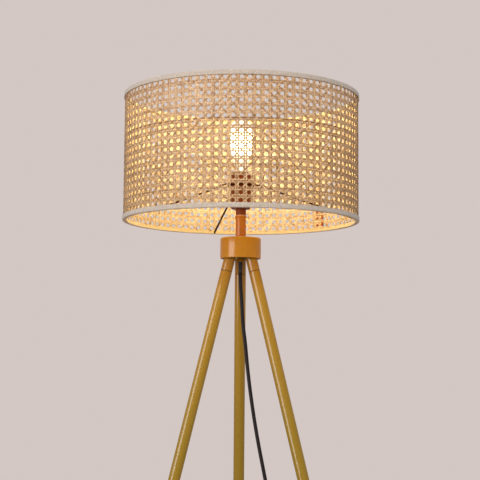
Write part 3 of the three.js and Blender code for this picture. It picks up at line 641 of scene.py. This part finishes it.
plate = turned("socket_plate", [
    (STEM_BORE, plate_low), (PLATE_RADIUS, plate_low, 0.4),
    (PLATE_RADIUS, level("hub_plate")), (STEM_BORE, level("hub_plate")),
], plate_painted_shade, 96)
stands_for(plate, "ochre_metal", "hub_plate")

NUT_COLLAR = 3
NUT_RADIUS = 8.08
nut_low = level("stem_nut", top=False) - NUT_COLLAR
nut_top = level("stem_nut")
shape = bmesh.new()
bmesh.ops.create_cone(
    shape, cap_ends=True, segments=6, radius1=NUT_RADIUS, radius2=NUT_RADIUS,
    depth=nut_top - nut_low,
)
bmesh.ops.translate(shape, vec=(0, 0, (nut_low + nut_top) / 2), verts=shape.verts[:])
rounded(shape, shape.edges[:], 0.5, 3)
nut = piece_from(shape, "lock_nut", ochre_lacquer)
stands_for(nut, "ochre_metal", "stem_nut")

SCREW_RADIUS = 3
SHANK_RADIUS = 1.7
screw_head = level("plate_screw", top=False)
screw_end = level("plate_screw")
screw = turned("plate_screw_head", [
    (0, screw_head + 1.1), (1.1, screw_head + 1.1), (1.3, screw_head),
    (SCREW_RADIUS, screw_head, 1.4), (SCREW_RADIUS, screw_head + 2.2),
    (SHANK_RADIUS, screw_head + 2.2), (SHANK_RADIUS, screw_end), (0, screw_end),
], passivated_steel, 40, LAMP @ Matrix.Translation(middle_of("plate_screw")))
stands_for(screw, "bright_metal", "plate_screw")

# Stem and the lead inside it: a thin threaded steel tube through hub and neck. They show only at
# the nut, so the solids stay and take their finish.


def dressed(node, finish):
    """Gives a solid that stays its finish."""
    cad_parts[node].data.materials.clear()
    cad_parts[node].data.materials.append(finish)


dressed("stem", plated_steel)
dressed("inner_lead", pvc_sheath)

# Neck: a steel tube over the stem with a rolled bead at its top and a thin fibre washer on the
# bead, whose pale colour is a painted highlight on the bead's top. The tube is lacquered like the
# hub and painted redder still, a painted glow of the lit shade above.
NECK_BASE = level("neck_tube", top=False)
NECK_TOP = level("neck_tube")
NECK_RADIUS = 10
NECK_WALL = 1.5
BEAD_RADIUS = radius_of("neck_tube")
WASHER = 1.5
# Painted glow: the neck's lacquer is a redder copy of the hub's.
neck_glow_lacquer = lacquer("neck_glow_lacquer", (0.485, 0.146, 0.004), (0.525, 0.158, 0.005), 0.4)
bead_top = NECK_TOP - WASHER
neck = turned("neck_sleeve", [
    (NECK_RADIUS - NECK_WALL, NECK_BASE), (NECK_RADIUS, NECK_BASE, 0.4),
    (NECK_RADIUS, bead_top - 3.6, 0.5), (BEAD_RADIUS, bead_top - 3.2, 0.6),
    (BEAD_RADIUS, bead_top, 1), (STEM_BORE, bead_top), (STEM_BORE, bead_top - 2),
    (NECK_RADIUS - NECK_WALL, bead_top - 2),
], neck_glow_lacquer, 96)
stands_for(neck, "ochre_metal", "neck_tube")
# Painted highlight: the washer is pale where light catches the top of the bead.
washer_painted_highlight = grained("washer_painted_highlight", (0.68, 0.36, 0.16), (0.78, 0.43, 0.19), 600, 0.6)
washer = turned("neck_washer", [
    (STEM_BORE, bead_top), (NECK_RADIUS + 0.4, bead_top, 0.2), (NECK_RADIUS + 0.4, NECK_TOP, 0.2),
    (STEM_BORE, NECK_TOP),
], washer_painted_highlight, 96)
stands_for(washer, "brown_phenolic")

# Lamp holder: dark reddish brown moulded phenolic. The cap's boss stands on the neck, the sleeve
# plugs into the cap, and the threaded shade ring clamps the fitter on the sleeve's shoulder.
CAP_LOW = level("holder_cap", top=False)
CAP_TOP = level("holder_cap")
HOLDER_RADIUS = radius_of("holder_cap")
BOSS_RADIUS = 9.75
BOSS_HEIGHT = 11.7
HOLDER_FOOT = 17.5
HOLDER_WALL = 2.2
brown_phenolic = grained(
    "brown_phenolic", (0.16, 0.031, 0.006), (0.23, 0.047, 0.009), 45, 0.42, 0.03, depth=0.00005,
    specular=0.12,
)
cup_low = CAP_LOW + BOSS_HEIGHT
inner = HOLDER_RADIUS - HOLDER_WALL
cap = turned("holder_base", [
    (STEM_BORE, CAP_LOW), (BOSS_RADIUS, CAP_LOW, 0.5), (BOSS_RADIUS, cup_low, 0.8),
    (HOLDER_FOOT, cup_low, 0.8), (HOLDER_RADIUS, cup_low + 2.2, 0.9), (HOLDER_RADIUS, CAP_TOP, 0.3),
    (inner, CAP_TOP), (inner, cup_low + 3), (STEM_BORE, cup_low + 3),
], brown_phenolic, 96)
stands_for(cap, "brown_phenolic", "holder_cap")

SHELL_TOP = level("holder_shell")
SHOULDER_TOP = level("fitter_ring", top=False) - SEAT_GAP
SHOULDER_RADIUS = radius_of("holder_shell")
RING_LOW = level("shade_ring", top=False)
RING_TOP = level("shade_ring")
THREAD_PITCH = 2.5
root = HOLDER_RADIUS - 0.9
crest = HOLDER_RADIUS - 0.1
threads = []
turn_low = RING_TOP + 1
while turn_low + THREAD_PITCH < SHELL_TOP - 1.5:
    threads += [(root, turn_low + 0.3, 0.2), (crest, turn_low + THREAD_PITCH / 2, 0.4)]
    turn_low += THREAD_PITCH
sleeve = turned("holder_sleeve", [
    (inner - 2.5, CAP_TOP - 7), (inner - SEAT_GAP, CAP_TOP - 7),
    (inner - SEAT_GAP, CAP_TOP + SEAT_GAP), (HOLDER_RADIUS, CAP_TOP + SEAT_GAP, 0.3),
    (HOLDER_RADIUS, SHOULDER_TOP - 3, 0.5), (SHOULDER_RADIUS, SHOULDER_TOP - 3, 0.5),
    (SHOULDER_RADIUS, SHOULDER_TOP, 0.4), (root, SHOULDER_TOP), *threads,
    (root, turn_low + 0.3), (root, SHELL_TOP, 0.7), (inner, SHELL_TOP, 0.4),
    (inner, CAP_TOP + 2.2), (inner - 2.5, CAP_TOP + 2.2),
], brown_phenolic, 96)
stands_for(sleeve, "brown_phenolic", "holder_shell")

RING_RADIUS = radius_of("shade_ring")
ring = turned("clamp_ring", [
    (HOLDER_RADIUS + 0.2, RING_LOW), (RING_RADIUS, RING_LOW, 0.4), (RING_RADIUS, RING_TOP, 1.6),
    (HOLDER_RADIUS + 0.2, RING_TOP, 0.3),
], brown_phenolic, 96)
stands_for(ring, "brown_phenolic", "shade_ring")

contact_brass = grained(
    "contact_brass", (0.58, 0.37, 0.11), (0.68, 0.46, 0.16), 500, 0.3, 0.05, metallic=1.0
)
unglazed_ceramic = grained("unglazed_ceramic", (0.62, 0.58, 0.5), (0.72, 0.69, 0.6), 800, 0.7, 0.2)
dressed("contact_tongue", contact_brass)
dressed("holder_insert", unglazed_ceramic)
dressed("screw_sleeve", plated_steel)

# Bulb: an opal glass globe on a threaded screw cap, lit warm white. The globe glows most round its
# middle, and a lamp inside it sheds the light on the shade.
CAP_RADIUS = radius_of("bulb_cap")
BULB_CAP_LOW = level("bulb_cap", top=False)
BULB_CAP_TOP = level("bulb_cap")
GLASS_LOW = level("bulb_glass", top=False)
GLASS_TOP = level("bulb_glass")
GLOBE_RADIUS = 23.8
NECK_OF_GLASS = 12
CAP_THREADS = 5
CAP_PITCH = 3.2
FULL_GLOW = (1.0, 0.96, 0.6)
DIM_GLOW = (0.08, 0.075, 0.055)
GLOW_STRENGTH = 11
LAMP_POWER = 5.8
LAMP_COLOUR = (1.0, 1.0, 0.6)
LAMP_RISE = 5

threads = []
turn_low = BULB_CAP_LOW + 6
for _ in range(CAP_THREADS):
    threads += [(CAP_RADIUS - 0.9, turn_low, 0.4), (CAP_RADIUS, turn_low + CAP_PITCH / 2, 0.6)]
    turn_low += CAP_PITCH
screw_cap = turned("bulb_screw_cap", [
    (0, BULB_CAP_LOW), (4.5, BULB_CAP_LOW, 1), (5, BULB_CAP_LOW + 2), (9.5, BULB_CAP_LOW + 4, 1),
    *threads, (CAP_RADIUS - 0.9, turn_low, 0.4), (CAP_RADIUS, BULB_CAP_TOP), (0, BULB_CAP_TOP),
], plated_steel, 72)
stands_for(screw_cap, "bright_metal", "bulb_cap")

opal_glass = grained("opal_glass", (0.9, 0.82, 0.7), (0.94, 0.88, 0.78), 300, 0.25, 0.02)
globe_centre = GLASS_TOP - GLOBE_RADIUS
tree = opal_glass.node_tree
fed(tree, tree.nodes["Principled BSDF"], {
    "Emission Color": toned(tree, by_height(tree, GLASS_LOW * MM, GLASS_TOP * MM), [
        (0.25, DIM_GLOW), (0.42, FULL_GLOW), (0.56, FULL_GLOW), (0.84, DIM_GLOW),
    ], "EASE"),
    "Emission Strength": GLOW_STRENGTH,
})
shape = bmesh.new()
bmesh.ops.create_uvsphere(shape, u_segments=48, v_segments=32, radius=GLOBE_RADIUS)
bmesh.ops.translate(shape, vec=(0, 0, globe_centre), verts=shape.verts[:])
waist = NECK_OF_GLASS / GLOBE_RADIUS
for vert in shape.verts:
    drop = (globe_centre - vert.co.z) / GLOBE_RADIUS
    if drop > 0:
        reach = math.hypot(vert.co.x, vert.co.y) / GLOBE_RADIUS
        stretch = (waist + (reach - waist) * (1 - drop * drop)) / reach if reach > 0.01 else 0
        vert.co.x *= stretch
        vert.co.y *= stretch
        vert.co.z = globe_centre - drop * (globe_centre - GLASS_LOW)
glass = piece_from(shape, "bulb_globe", opal_glass, sharp=60)
glass.visible_shadow = glass.visible_diffuse = False
stands_for(glass, "opal_glass", "bulb_glass")

bulb_light = bpy.data.lights.new("bulb_light", "POINT")
bulb_light.energy = LAMP_POWER
bulb_light.color = LAMP_COLOUR
bulb_light.shadow_soft_size = GLOBE_RADIUS * 0.8 * MM
light = bpy.data.objects.new("bulb_light", bulb_light)
light.location = LAMP @ Vector((0, 0, globe_centre + LAMP_RISE))
light.visible_camera = False
bpy.context.scene.collection.objects.link(light)

# Shade fitter: a pressed ring with three wire spokes welded to its edge. The spokes run level,
# bend and slope down to the wire ring in the shade's lower rim.
SPOKE_ANGLES = {1: 104.5, 2: 224.5, 3: 344.5}
SPOKE_WIRE = 3.5
SPOKE_PAINT = 0.2
SPOKE_FLAT = 16
SPOKE_END = 216.3
SPOKE_LANDING = 3
RIM_WIRE = 4
SHADE_BASE = level("lower_trim_band", top=False)
SHADE_TOP = level("upper_trim_band")
SHADE_RADIUS = radius_of("lower_trim_band")
RIM_RADIUS = radius_of("lower_rim_ring") - RIM_WIRE / 2
RING_EDGE = radius_of("fitter_ring")
FITTER_LOW = level("fitter_ring", top=False)
FITTER_TOP = level("fitter_ring")

wire_lacquer = grained(
    "wire_lacquer", (0.036, 0.007, 0.001), (0.052, 0.011, 0.002), 400, 0.7, 0.1, specular=0.02
)
fitter = turned("fitter_washer", [
    (HOLDER_RADIUS + SEAT_GAP, FITTER_LOW), (RING_EDGE, FITTER_LOW, 0.5),
    (RING_EDGE, FITTER_TOP, 0.5), (HOLDER_RADIUS + SEAT_GAP, FITTER_TOP),
], wire_lacquer, 96)
stands_for(fitter, "dark_wire", "fitter_ring")

spoke_level = (FITTER_LOW + FITTER_TOP) / 2
landing = SHADE_BASE + SPOKE_LANDING
bend = RING_EDGE + SPOKE_FLAT
spoke_side = [
    (RING_EDGE + SEAT_GAP, spoke_level), (RING_EDGE + SPOKE_FLAT / 2, spoke_level),
    (bend, spoke_level - SPOKE_WIRE / 2), (bend + SPOKE_FLAT, spoke_level - SPOKE_WIRE * 2.5),
    (SPOKE_END - SPOKE_FLAT, landing + SPOKE_WIRE * 1.8), (SPOKE_END, landing),
]
for number, angle in SPOKE_ANGLES.items():
    across = Vector((math.cos(math.radians(angle)), math.sin(math.radians(angle)), 0))
    route = [across * reach + Vector((0, 0, height)) for reach, height in spoke_side]
    spoke = wire_along(f"spoke_{number}", route, SPOKE_WIRE + SPOKE_PAINT, wire_lacquer)
    stands_for(spoke, "dark_wire", f"fitter_spoke_{number}")

# Rim wires: rings of steel wire that hold the drum round. They lie hidden inside the trims, so the
# solids stay and take the wire's lacquer.
dressed("lower_rim_ring", wire_lacquer)
dressed("upper_rim_ring", wire_lacquer)

# Trims: greige linen tape glued over each rim, tall on the outside and folded under the wire. The
# weave is drawn round the drum, thread by thread.
TRIM_HEIGHT = 8.5
TRIM_THICKNESS = 1
GLOW_RADIUS = SHADE_RADIUS - 2
THREADS_ROUND = 1500
THREADS_PER_METRE = 1060
FOLD_GLOW = (0.97, 0.74, 0.43, 1)


def combined(tree, operation, *sources):
    """A sum, product or other function of values in a finish."""
    return added(tree, "Math", dict(enumerate(sources)), operation=operation).outputs["Value"]


def linen_tape():
    """Plain weave: threads round the drum and across the tape, each with its own tone. The part
    folded inside is painted straw brown, a painted glow of the lit cane around it."""
    material = grained("linen_tape", (0.44, 0.355, 0.278), (0.72, 0.6, 0.492), 420, 0.9, 0.3)
    tree = material.node_tree
    centred = added(tree, "Mapping", {
        "Vector": tree.nodes["Texture Coordinate"].outputs["Object"], "Location": (0, -AXIS_Y, 0),
    })
    x, y, z = added(tree, "SeparateXYZ", {"Vector": centred.outputs["Vector"]}).outputs
    around = combined(tree, "ARCTAN2", y, x)
    warp = combined(tree, "SINE", combined(tree, "MULTIPLY", around, THREADS_ROUND / 2))
    weft = combined(tree, "SINE", combined(tree, "MULTIPLY", z, THREADS_PER_METRE * math.pi))
    over = combined(tree, "GREATER_THAN", combined(tree, "MULTIPLY", warp, weft), 0)
    under = combined(tree, "SUBTRACT", 1, over)
    warp_high = combined(tree, "MULTIPLY", combined(tree, "ABSOLUTE", warp), over)
    weft_high = combined(tree, "MULTIPLY", combined(tree, "ABSOLUTE", weft), under)
    height = combined(tree, "ADD", warp_high, weft_high)
    fed(tree, tree.nodes["Bump"], {"Height": height, "Strength": 0.8})
    woven = multiplied(tree, tree.nodes["Color Ramp"].outputs["Color"], height, 0.35)
    reach = combined(
        tree, "ADD", combined(tree, "MULTIPLY", x, x), combined(tree, "MULTIPLY", y, y)
    )
    # Painted glow: the fold inside the drum is tinted straw brown, for the light of the lit cane.
    fold_glow_mask = combined(tree, "LESS_THAN", reach, (GLOW_RADIUS * MM) ** 2)
    fed(tree, tree.nodes["Principled BSDF"], {
        "Sheen Weight": 0.25, "Base Color": multiplied(tree, woven, FOLD_GLOW, fold_glow_mask),
    })
    return material


linen = linen_tape()
fold_outer = RIM_RADIUS - RIM_WIRE / 2 - SEAT_GAP
fold_inner = fold_outer - TRIM_THICKNESS
fold_height = TRIM_THICKNESS + SEAT_GAP + RIM_WIRE


def trim_outline(edge, inward):
    """Section of a trim from its rim edge, with inward giving the way into the drum."""
    inner_side = SHADE_RADIUS - TRIM_THICKNESS
    tape_edge = edge + inward * TRIM_HEIGHT
    fold_edge = edge + inward * fold_height
    inside = edge + inward * TRIM_THICKNESS
    return [
        (fold_inner, edge, 1), (SHADE_RADIUS, edge, 1.2), (SHADE_RADIUS, tape_edge, 0.45),
        (inner_side, tape_edge, 0.3), (inner_side, inside), (fold_outer, inside),
        (fold_outer, fold_edge, 0.3), (fold_inner, fold_edge, 0.4),
    ]


lower_trim = turned("lower_linen_trim", trim_outline(SHADE_BASE, 1), linen, 192)
stands_for(lower_trim, "linen", "lower_trim_band")
upper_trim = turned("upper_linen_trim", trim_outline(SHADE_TOP, -1), linen, 192)
stands_for(upper_trim, "linen", "upper_trim_band")

# Cane webbing: one bent panel of natural cane strands in the six-way pattern. Pairs of uprights
# and hoops are woven over and under each other, and slanting strands pass between them, so that
# each opening is eight-sided. Its two ends overlap at the back right, pressed flat and glued.
COLUMNS_ROUND = 96.4
ROWS = 17
ROW_PITCH = 13.756
LOWEST_HOLE = SHADE_BASE + 12.4
FRONT_HOLE = math.radians(-90.05)
CANE_RADIUS = 224.6
STRAND_WIDTH = 2.7
STRAND_THICKNESS = 0.48
PAIR_SPREAD = 2.15
WEAVE_LIFT = 0.28
CROSS_LIFT = 0.52
PANEL_LOW = SHADE_BASE + 2
PANEL_HIGH = SHADE_TOP - 2
PLAIN_TONES = (0.08, 0.44)
COLUMN_ANGLE = 2 * math.pi / COLUMNS_ROUND
COLUMN_PITCH = CANE_RADIUS * COLUMN_ANGLE
QUARTER_COLUMN = COLUMN_PITCH / 4
QUARTER_ROW = ROW_PITCH / 4
FIRST_PAIR = FRONT_HOLE - COLUMN_ANGLE / 2
LOWEST_PAIR = LOWEST_HOLE - ROW_PITCH / 2

# Both ends in columns from the first pair: the inner end at the back, and the outer end on it.
INNER_END = -60.375
OUTER_END = 37.375
LAP_COLUMNS = OUTER_END - INNER_END - COLUMNS_ROUND
LAP_RUN = 5
INNER_STEP = 0.7
OUTER_STEP = 0.3
PRESSED_LIFT = 0.3
# Heights between which the cane is painted lighter towards the top, for light from above.
TOP_LIGHT_FROM = SHADE_TOP - 140
TOP_LIGHT_TO = SHADE_TOP - 60


def cane_strands():
    """Split cane: straw brown with fibre streaks, each strand in its tone. Edges are darker, partly
    the cut edge and partly painted shade between strands, and all is painted a little lighter
    towards the top, for light from above."""
    material = bpy.data.materials.new("cane_strands")
    material.use_nodes = True
    tree = material.node_tree
    along = added(tree, "UVMap", {}, uv_map="fibre").outputs["UV"]
    strand = added(tree, "Attribute", {}, attribute_name="tone").outputs["Fac"]
    drawn = added(tree, "Mapping", {"Vector": along, "Scale": (0.36, 0.6, 1)})
    fibre = added(tree, "TexNoise", {
        "Vector": drawn.outputs["Vector"], "W": combined(tree, "MULTIPLY", strand, 400),
        "Scale": 1, "Detail": 4,
    }, noise_dimensions="4D").outputs["Fac"]
    streaks = added(tree, "MapRange", {
        "Value": fibre, "From Min": 0.37, "From Max": 0.63, "To Max": 0.72,
    }).outputs["Result"]
    tint = toned(tree, combined(tree, "ADD", streaks, strand), [
        (0, (0.16, 0.042, 0.01)), (0.1, (0.155, 0.05, 0.015)), (0.55, (0.495, 0.279, 0.118)),
        (1, (0.84, 0.56, 0.33)),
    ])
    across = added(tree, "SeparateXYZ", {"Vector": along}).outputs["Y"]
    # Partly the cane's cut edge, partly painted shade between strands: each strand darker at its
    # edges.
    edge_and_shade = added(tree, "MapRange", {
        "Value": combined(tree, "ABSOLUTE", across), "From Min": STRAND_WIDTH * 0.26,
        "From Max": STRAND_WIDTH * 0.48, "To Min": 1, "To Max": 0.28,
    }).outputs["Result"]
    added(tree, "TexCoord", {})
    # Painted light: the cane is a little lighter towards the top, for light from above.
    painted_top_light = by_height(tree, TOP_LIGHT_FROM * MM, TOP_LIGHT_TO * MM, 0.96, 1.12)
    relief = added(tree, "Bump", {"Height": fibre, "Strength": 0.4, "Distance": 0.0002})
    fed(tree, tree.nodes["Principled BSDF"], {
        "Base Color": multiplied(tree, tint, combined(tree, "MULTIPLY", edge_and_shade, painted_top_light)),
        "Normal": relief.outputs["Normal"], "Roughness": 0.5, "Specular IOR Level": 0.15,
    })
    return material


cane = cane_strands()
tones = random.Random(7)


def close_ends(shape):
    rims = [edge for edge in shape.edges if edge.is_boundary]
    bmesh.ops.holes_fill(shape, edges=rims, sides=4)


def drawn_strands(count, step, steps):
    """A bmesh of equal flat strands in one pile, each drawn upwards in steps, the strands as lists
    of vertices, and the layer for their tones. A strand's x runs across it, y out of the drum and
    z along it."""
    shape = bmesh.new()
    fibre = shape.loops.layers.uv.new("fibre")
    shape.verts.layers.float.new("tone")
    half, crown = STRAND_WIDTH / 2, STRAND_WIDTH * 0.36
    low, high = -STRAND_THICKNESS / 2, STRAND_THICKNESS / 2
    section = ((-half, low, 0), (half, low, 0), (crown, high, 0), (-crown, high, 0))
    ring = [shape.verts.new(point) for point in section]
    edges = [shape.edges.new((ring[i - 1], ring[i])) for i in range(4)]
    bmesh.ops.spin(
        shape, geom=ring + edges, cent=(0, 0, 0), axis=(0, 0, 1), dvec=(0, 0, step), angle=0,
        steps=steps, use_merge=False, use_duplicate=False,
    )
    close_ends(shape)
    bmesh.ops.recalc_face_normals(shape, faces=shape.faces[:])
    for face in shape.faces:
        for loop in face.loops:
            loop[fibre].uv = (loop.vert.co.z, loop.vert.co.x)
    source = shape.verts[:]
    whole = source + shape.edges[:] + shape.faces[:]
    strands = [source]
    for _ in range(count - 1):
        made = bmesh.ops.duplicate(shape, geom=whole)["geom"]
        strands.append(verts_in(made))
    return shape, strands, shape.verts.layers.float["tone"]


def laid(column, rise, lift, across, height):
    """A point of the panel bent into the drum. Column counts from the first pair, rise and across
    are the point's place in its strand, and lift is how far the strand goes over or under."""
    into_lap = [
        min(max(1 - (past_end - LAP_COLUMNS) / LAP_RUN, 0), 1)
        for past_end in (column - INNER_END, OUTER_END - column)
    ]
    radius = CANE_RADIUS - INNER_STEP * into_lap[0] + OUTER_STEP * into_lap[1]
    out = radius + rise + lift * (1 - (1 - PRESSED_LIFT) * max(into_lap))
    turn = FIRST_PAIR + column * COLUMN_ANGLE + across / radius
    return out * math.cos(turn), out * math.sin(turn), height


def webbing_piece(shape, name, *nodes, material=cane):
    return stands_for(piece_from(shape, name, material, sharp=50), "cane", *nodes)


# Uprights of the webbing: pairs of strands that run from rim to rim, dodging each hoop in turn.
# A few are of a darker cut.
DARK_UPRIGHTS = {math.radians(-120): -0.05, math.radians(-60): -0.05, math.radians(-76): -0.1}
FIRST_BEND = math.ceil((PANEL_LOW - LOWEST_PAIR) / QUARTER_ROW - 0.5) + 0.5
LOWEST_BEND = LOWEST_PAIR + QUARTER_ROW * FIRST_BEND
BENDS = math.floor((PANEL_HIGH - LOWEST_BEND) / QUARTER_ROW)


def upright_tone(column):
    for dark, tone in DARK_UPRIGHTS.items():
        away = math.remainder(FIRST_PAIR + column * COLUMN_ANGLE - dark, 2 * math.pi)
        if abs(away) < COLUMN_ANGLE * 0.3:
            return tone
    return tones.uniform(*PLAIN_TONES)


pairs = range(math.ceil(INNER_END), math.floor(OUTER_END) + 1)
shape, strands, tone = drawn_strands(2 * len(pairs), QUARTER_ROW, BENDS)
for index, strand in enumerate(strands):
    side = 1 if index % 2 else -1
    column = pairs[index // 2] + side * PAIR_SPREAD / COLUMN_PITCH
    shade = upright_tone(column)
    for vert in strand:
        height = LOWEST_BEND + vert.co.z
        phase = math.floor((height - LOWEST_PAIR) / QUARTER_ROW + 0.01) % 4
        lift = {0: WEAVE_LIFT, 3: -WEAVE_LIFT}.get(phase, 0) * side
        vert.co = laid(column, vert.co.y, lift, vert.co.x, height)
        vert[tone] = shade
webbing_piece(shape, "cane_uprights", *[f"cane_panel_{number}" for number in range(1, 9)])

# Hoops of the webbing: pairs of strands laid round the drum, over and under the uprights. One is
# of a darker cut.
DARK_HOOP_LEVEL = SHADE_BASE + 159
DARK_HOOP_TONE = -0.15
pairs = [LOWEST_PAIR + row * ROW_PITCH for row in range(ROWS + 1)]
shape, strands, tone = drawn_strands(
    2 * len(pairs), QUARTER_COLUMN, round(4 * (OUTER_END - INNER_END))
)
for index, strand in enumerate(strands):
    side = 1 if index % 2 else -1
    height = pairs[index // 2] + side * PAIR_SPREAD
    dark = abs(height - DARK_HOOP_LEVEL) < 1
    shade = DARK_HOOP_TONE if dark else tones.uniform(*PLAIN_TONES)
    for vert in strand:
        column = INNER_END + round(vert.co.z / QUARTER_COLUMN) / 4
        lift = {0: -WEAVE_LIFT, 3: WEAVE_LIFT}.get(math.floor(4 * column) % 4, 0) * side
        vert.co = laid(column, vert.co.y, lift, 0, height + vert.co.x)
        vert[tone] = shade
webbing_piece(shape, "cane_hoops")

# Slanting strands of the webbing: one set leans each way. They pass outside one kind of pair and
# inside the other, half way between the crossings, and stop at the panel's two ends.
STRAND_SLOPE = COLUMN_PITCH / ROW_PITCH
for name, lean in (("cane_right_slants", 1), ("cane_left_slants", -1)):
    reach = ROWS + 1
    starts = range(
        math.floor(INNER_END) - (reach if lean > 0 else 1),
        math.ceil(OUTER_END) + (1 if lean > 0 else reach),
    )
    shape, strands, tone = drawn_strands(len(starts), QUARTER_ROW, BENDS)
    past_ends = []
    for start, strand in zip(starts, strands):
        shade = tones.uniform(*PLAIN_TONES)
        for vert in strand:
            height = LOWEST_BEND + vert.co.z
            spot = (height - LOWEST_PAIR) / ROW_PITCH - 0.5
            phase = math.floor(4 * spot + 0.01) % 4
            lift = CROSS_LIFT * lean * (1 if phase in (0, 3) else -1)
            column = start + lean * spot
            if not INNER_END - 0.01 < column < OUTER_END + 0.01:
                past_ends.append(vert)
            across = vert.co.x / math.hypot(1, STRAND_SLOPE)
            vert.co = laid(column, vert.co.y, lift, across, height - lean * across * STRAND_SLOPE)
            vert[tone] = shade
    bmesh.ops.delete(shape, geom=past_ends, context="VERTS")
    close_ends(shape)
    webbing_piece(shape, name)

# Lacing: stitches of cane that hold the lower end of the overlap, a row of long ones and a row of
# short slanting ones, on both faces of the panel. Their reddish brown is painted shade, dark marks
# where the overlap's two layers shade each other.
LONG_STITCHES = 35.84
SHORT_STITCHES = 36.78
STITCH_LENGTH = 8
STITCH_STEPS = 4
STITCH_WIDTH = 1.7
SHORT_SHARE = 0.6
SHORT_SLANT = 0.8
LONG_DROP = 3.7
SHORT_DROP = 5.2
INNER_FACE = -1.7
OUTER_FACE = 0.65

# Painted shade: the stitches are reddish brown where the overlap's layers shade each other.
lacing_painted_shade = grained(
    "lacing_painted_shade", (0.17, 0.024, 0.002), (0.32, 0.052, 0.004), 700, 0.6, specular=0.05
)
laced = pairs[1:4]
shape, stitches, _ = drawn_strands(4 * len(laced), STITCH_LENGTH / STITCH_STEPS, STITCH_STEPS)
for index, stitch in enumerate(stitches):
    short, outside = index % 2, index // 2 % 2
    for vert in stitch:
        along = (vert.co.z - STITCH_LENGTH / 2) * (SHORT_SHARE if short else 1)
        across = vert.co.x * STITCH_WIDTH - (SHORT_SLANT * along if short else 0)
        vert.co = laid(
            SHORT_STITCHES if short else LONG_STITCHES,
            vert.co.y + (OUTER_FACE if outside else INNER_FACE), 0, across,
            laced[index // 4] + along - (SHORT_DROP if short else LONG_DROP),
        )
webbing_piece(shape, "lap_lacing", material=lacing_painted_shade)

# Setting: a plain pale floor and a plain pale room with soft light. A broad lamp at the left and
# one in front light the object, and the gleam at the left shows only on what is glossy.
FLOOR_SIZE = 5
FLOOR = (0.56, 0.51, 0.49, 1)
BACKDROP = (0.655, 0.575, 0.548, 1)

floor_paint = bpy.data.materials.new("floor_paint")
floor_paint.use_nodes = True
tree = floor_paint.node_tree
fed(tree, tree.nodes["Principled BSDF"], {"Base Color": FLOOR, "Roughness": 0.85})
shape = bmesh.new()
bmesh.ops.create_grid(shape, x_segments=1, y_segments=1, size=FLOOR_SIZE)
piece_from(shape, "floor", floor_paint, Matrix())

world = bpy.data.worlds.new("room")
bpy.context.scene.world = world
world.use_nodes = True
tree = world.node_tree
tree.nodes.clear()
path = added(tree, "LightPath", {}).outputs
seen = combined(tree, "MAXIMUM", path["Is Camera Ray"], path["Is Glossy Ray"])
seen_through = combined(tree, "MAXIMUM", seen, path["Is Transmission Ray"])
ambient = added(tree, "Background", {"Color": (0.96, 0.97, 1.0, 1), "Strength": 0.62})
backdrop = added(tree, "Background", {"Color": BACKDROP, "Strength": 1})
choice = added(tree, "MixShader", {
    "Fac": seen_through, 1: ambient.outputs["Background"], 2: backdrop.outputs["Background"],
})
added(tree, "OutputWorld", {"Surface": choice.outputs["Shader"]})


def soft_lamp(name, spot, aim, size, power, colour=(1, 1, 1)):
    data = bpy.data.lights.new(name, "AREA")
    data.shape = "RECTANGLE"
    data.size, data.size_y = size
    data.energy = power
    data.color = colour
    lamp = bpy.data.objects.new(name, data)
    bpy.context.scene.collection.objects.link(lamp)
    lamp.matrix_world = Matrix.Translation(spot) @ (
        (Vector(aim) - Vector(spot)).to_track_quat("-Z", "Y").to_matrix().to_4x4()
    )
    return lamp


window_side = soft_lamp(
    "window_side", (-2.28, -1.85, 1.5), (0, AXIS_Y, 1.1), (1.3, 2.4), 17, (1, 0.98, 0.95)
)
window_gleam = soft_lamp("window_gleam", (-2.28, -1.85, 1.7), (0, AXIS_Y, 1.1), (1.8, 2.8), 125)
room_front = soft_lamp("room_front", (-0.2, -3.1, 2.3), (0, AXIS_Y, 1.0), (1.6, 1.6), 57)
window_side.visible_glossy = room_front.visible_glossy = False
window_gleam.visible_diffuse = False

bpy.context.scene.view_settings.view_transform = "Standard"
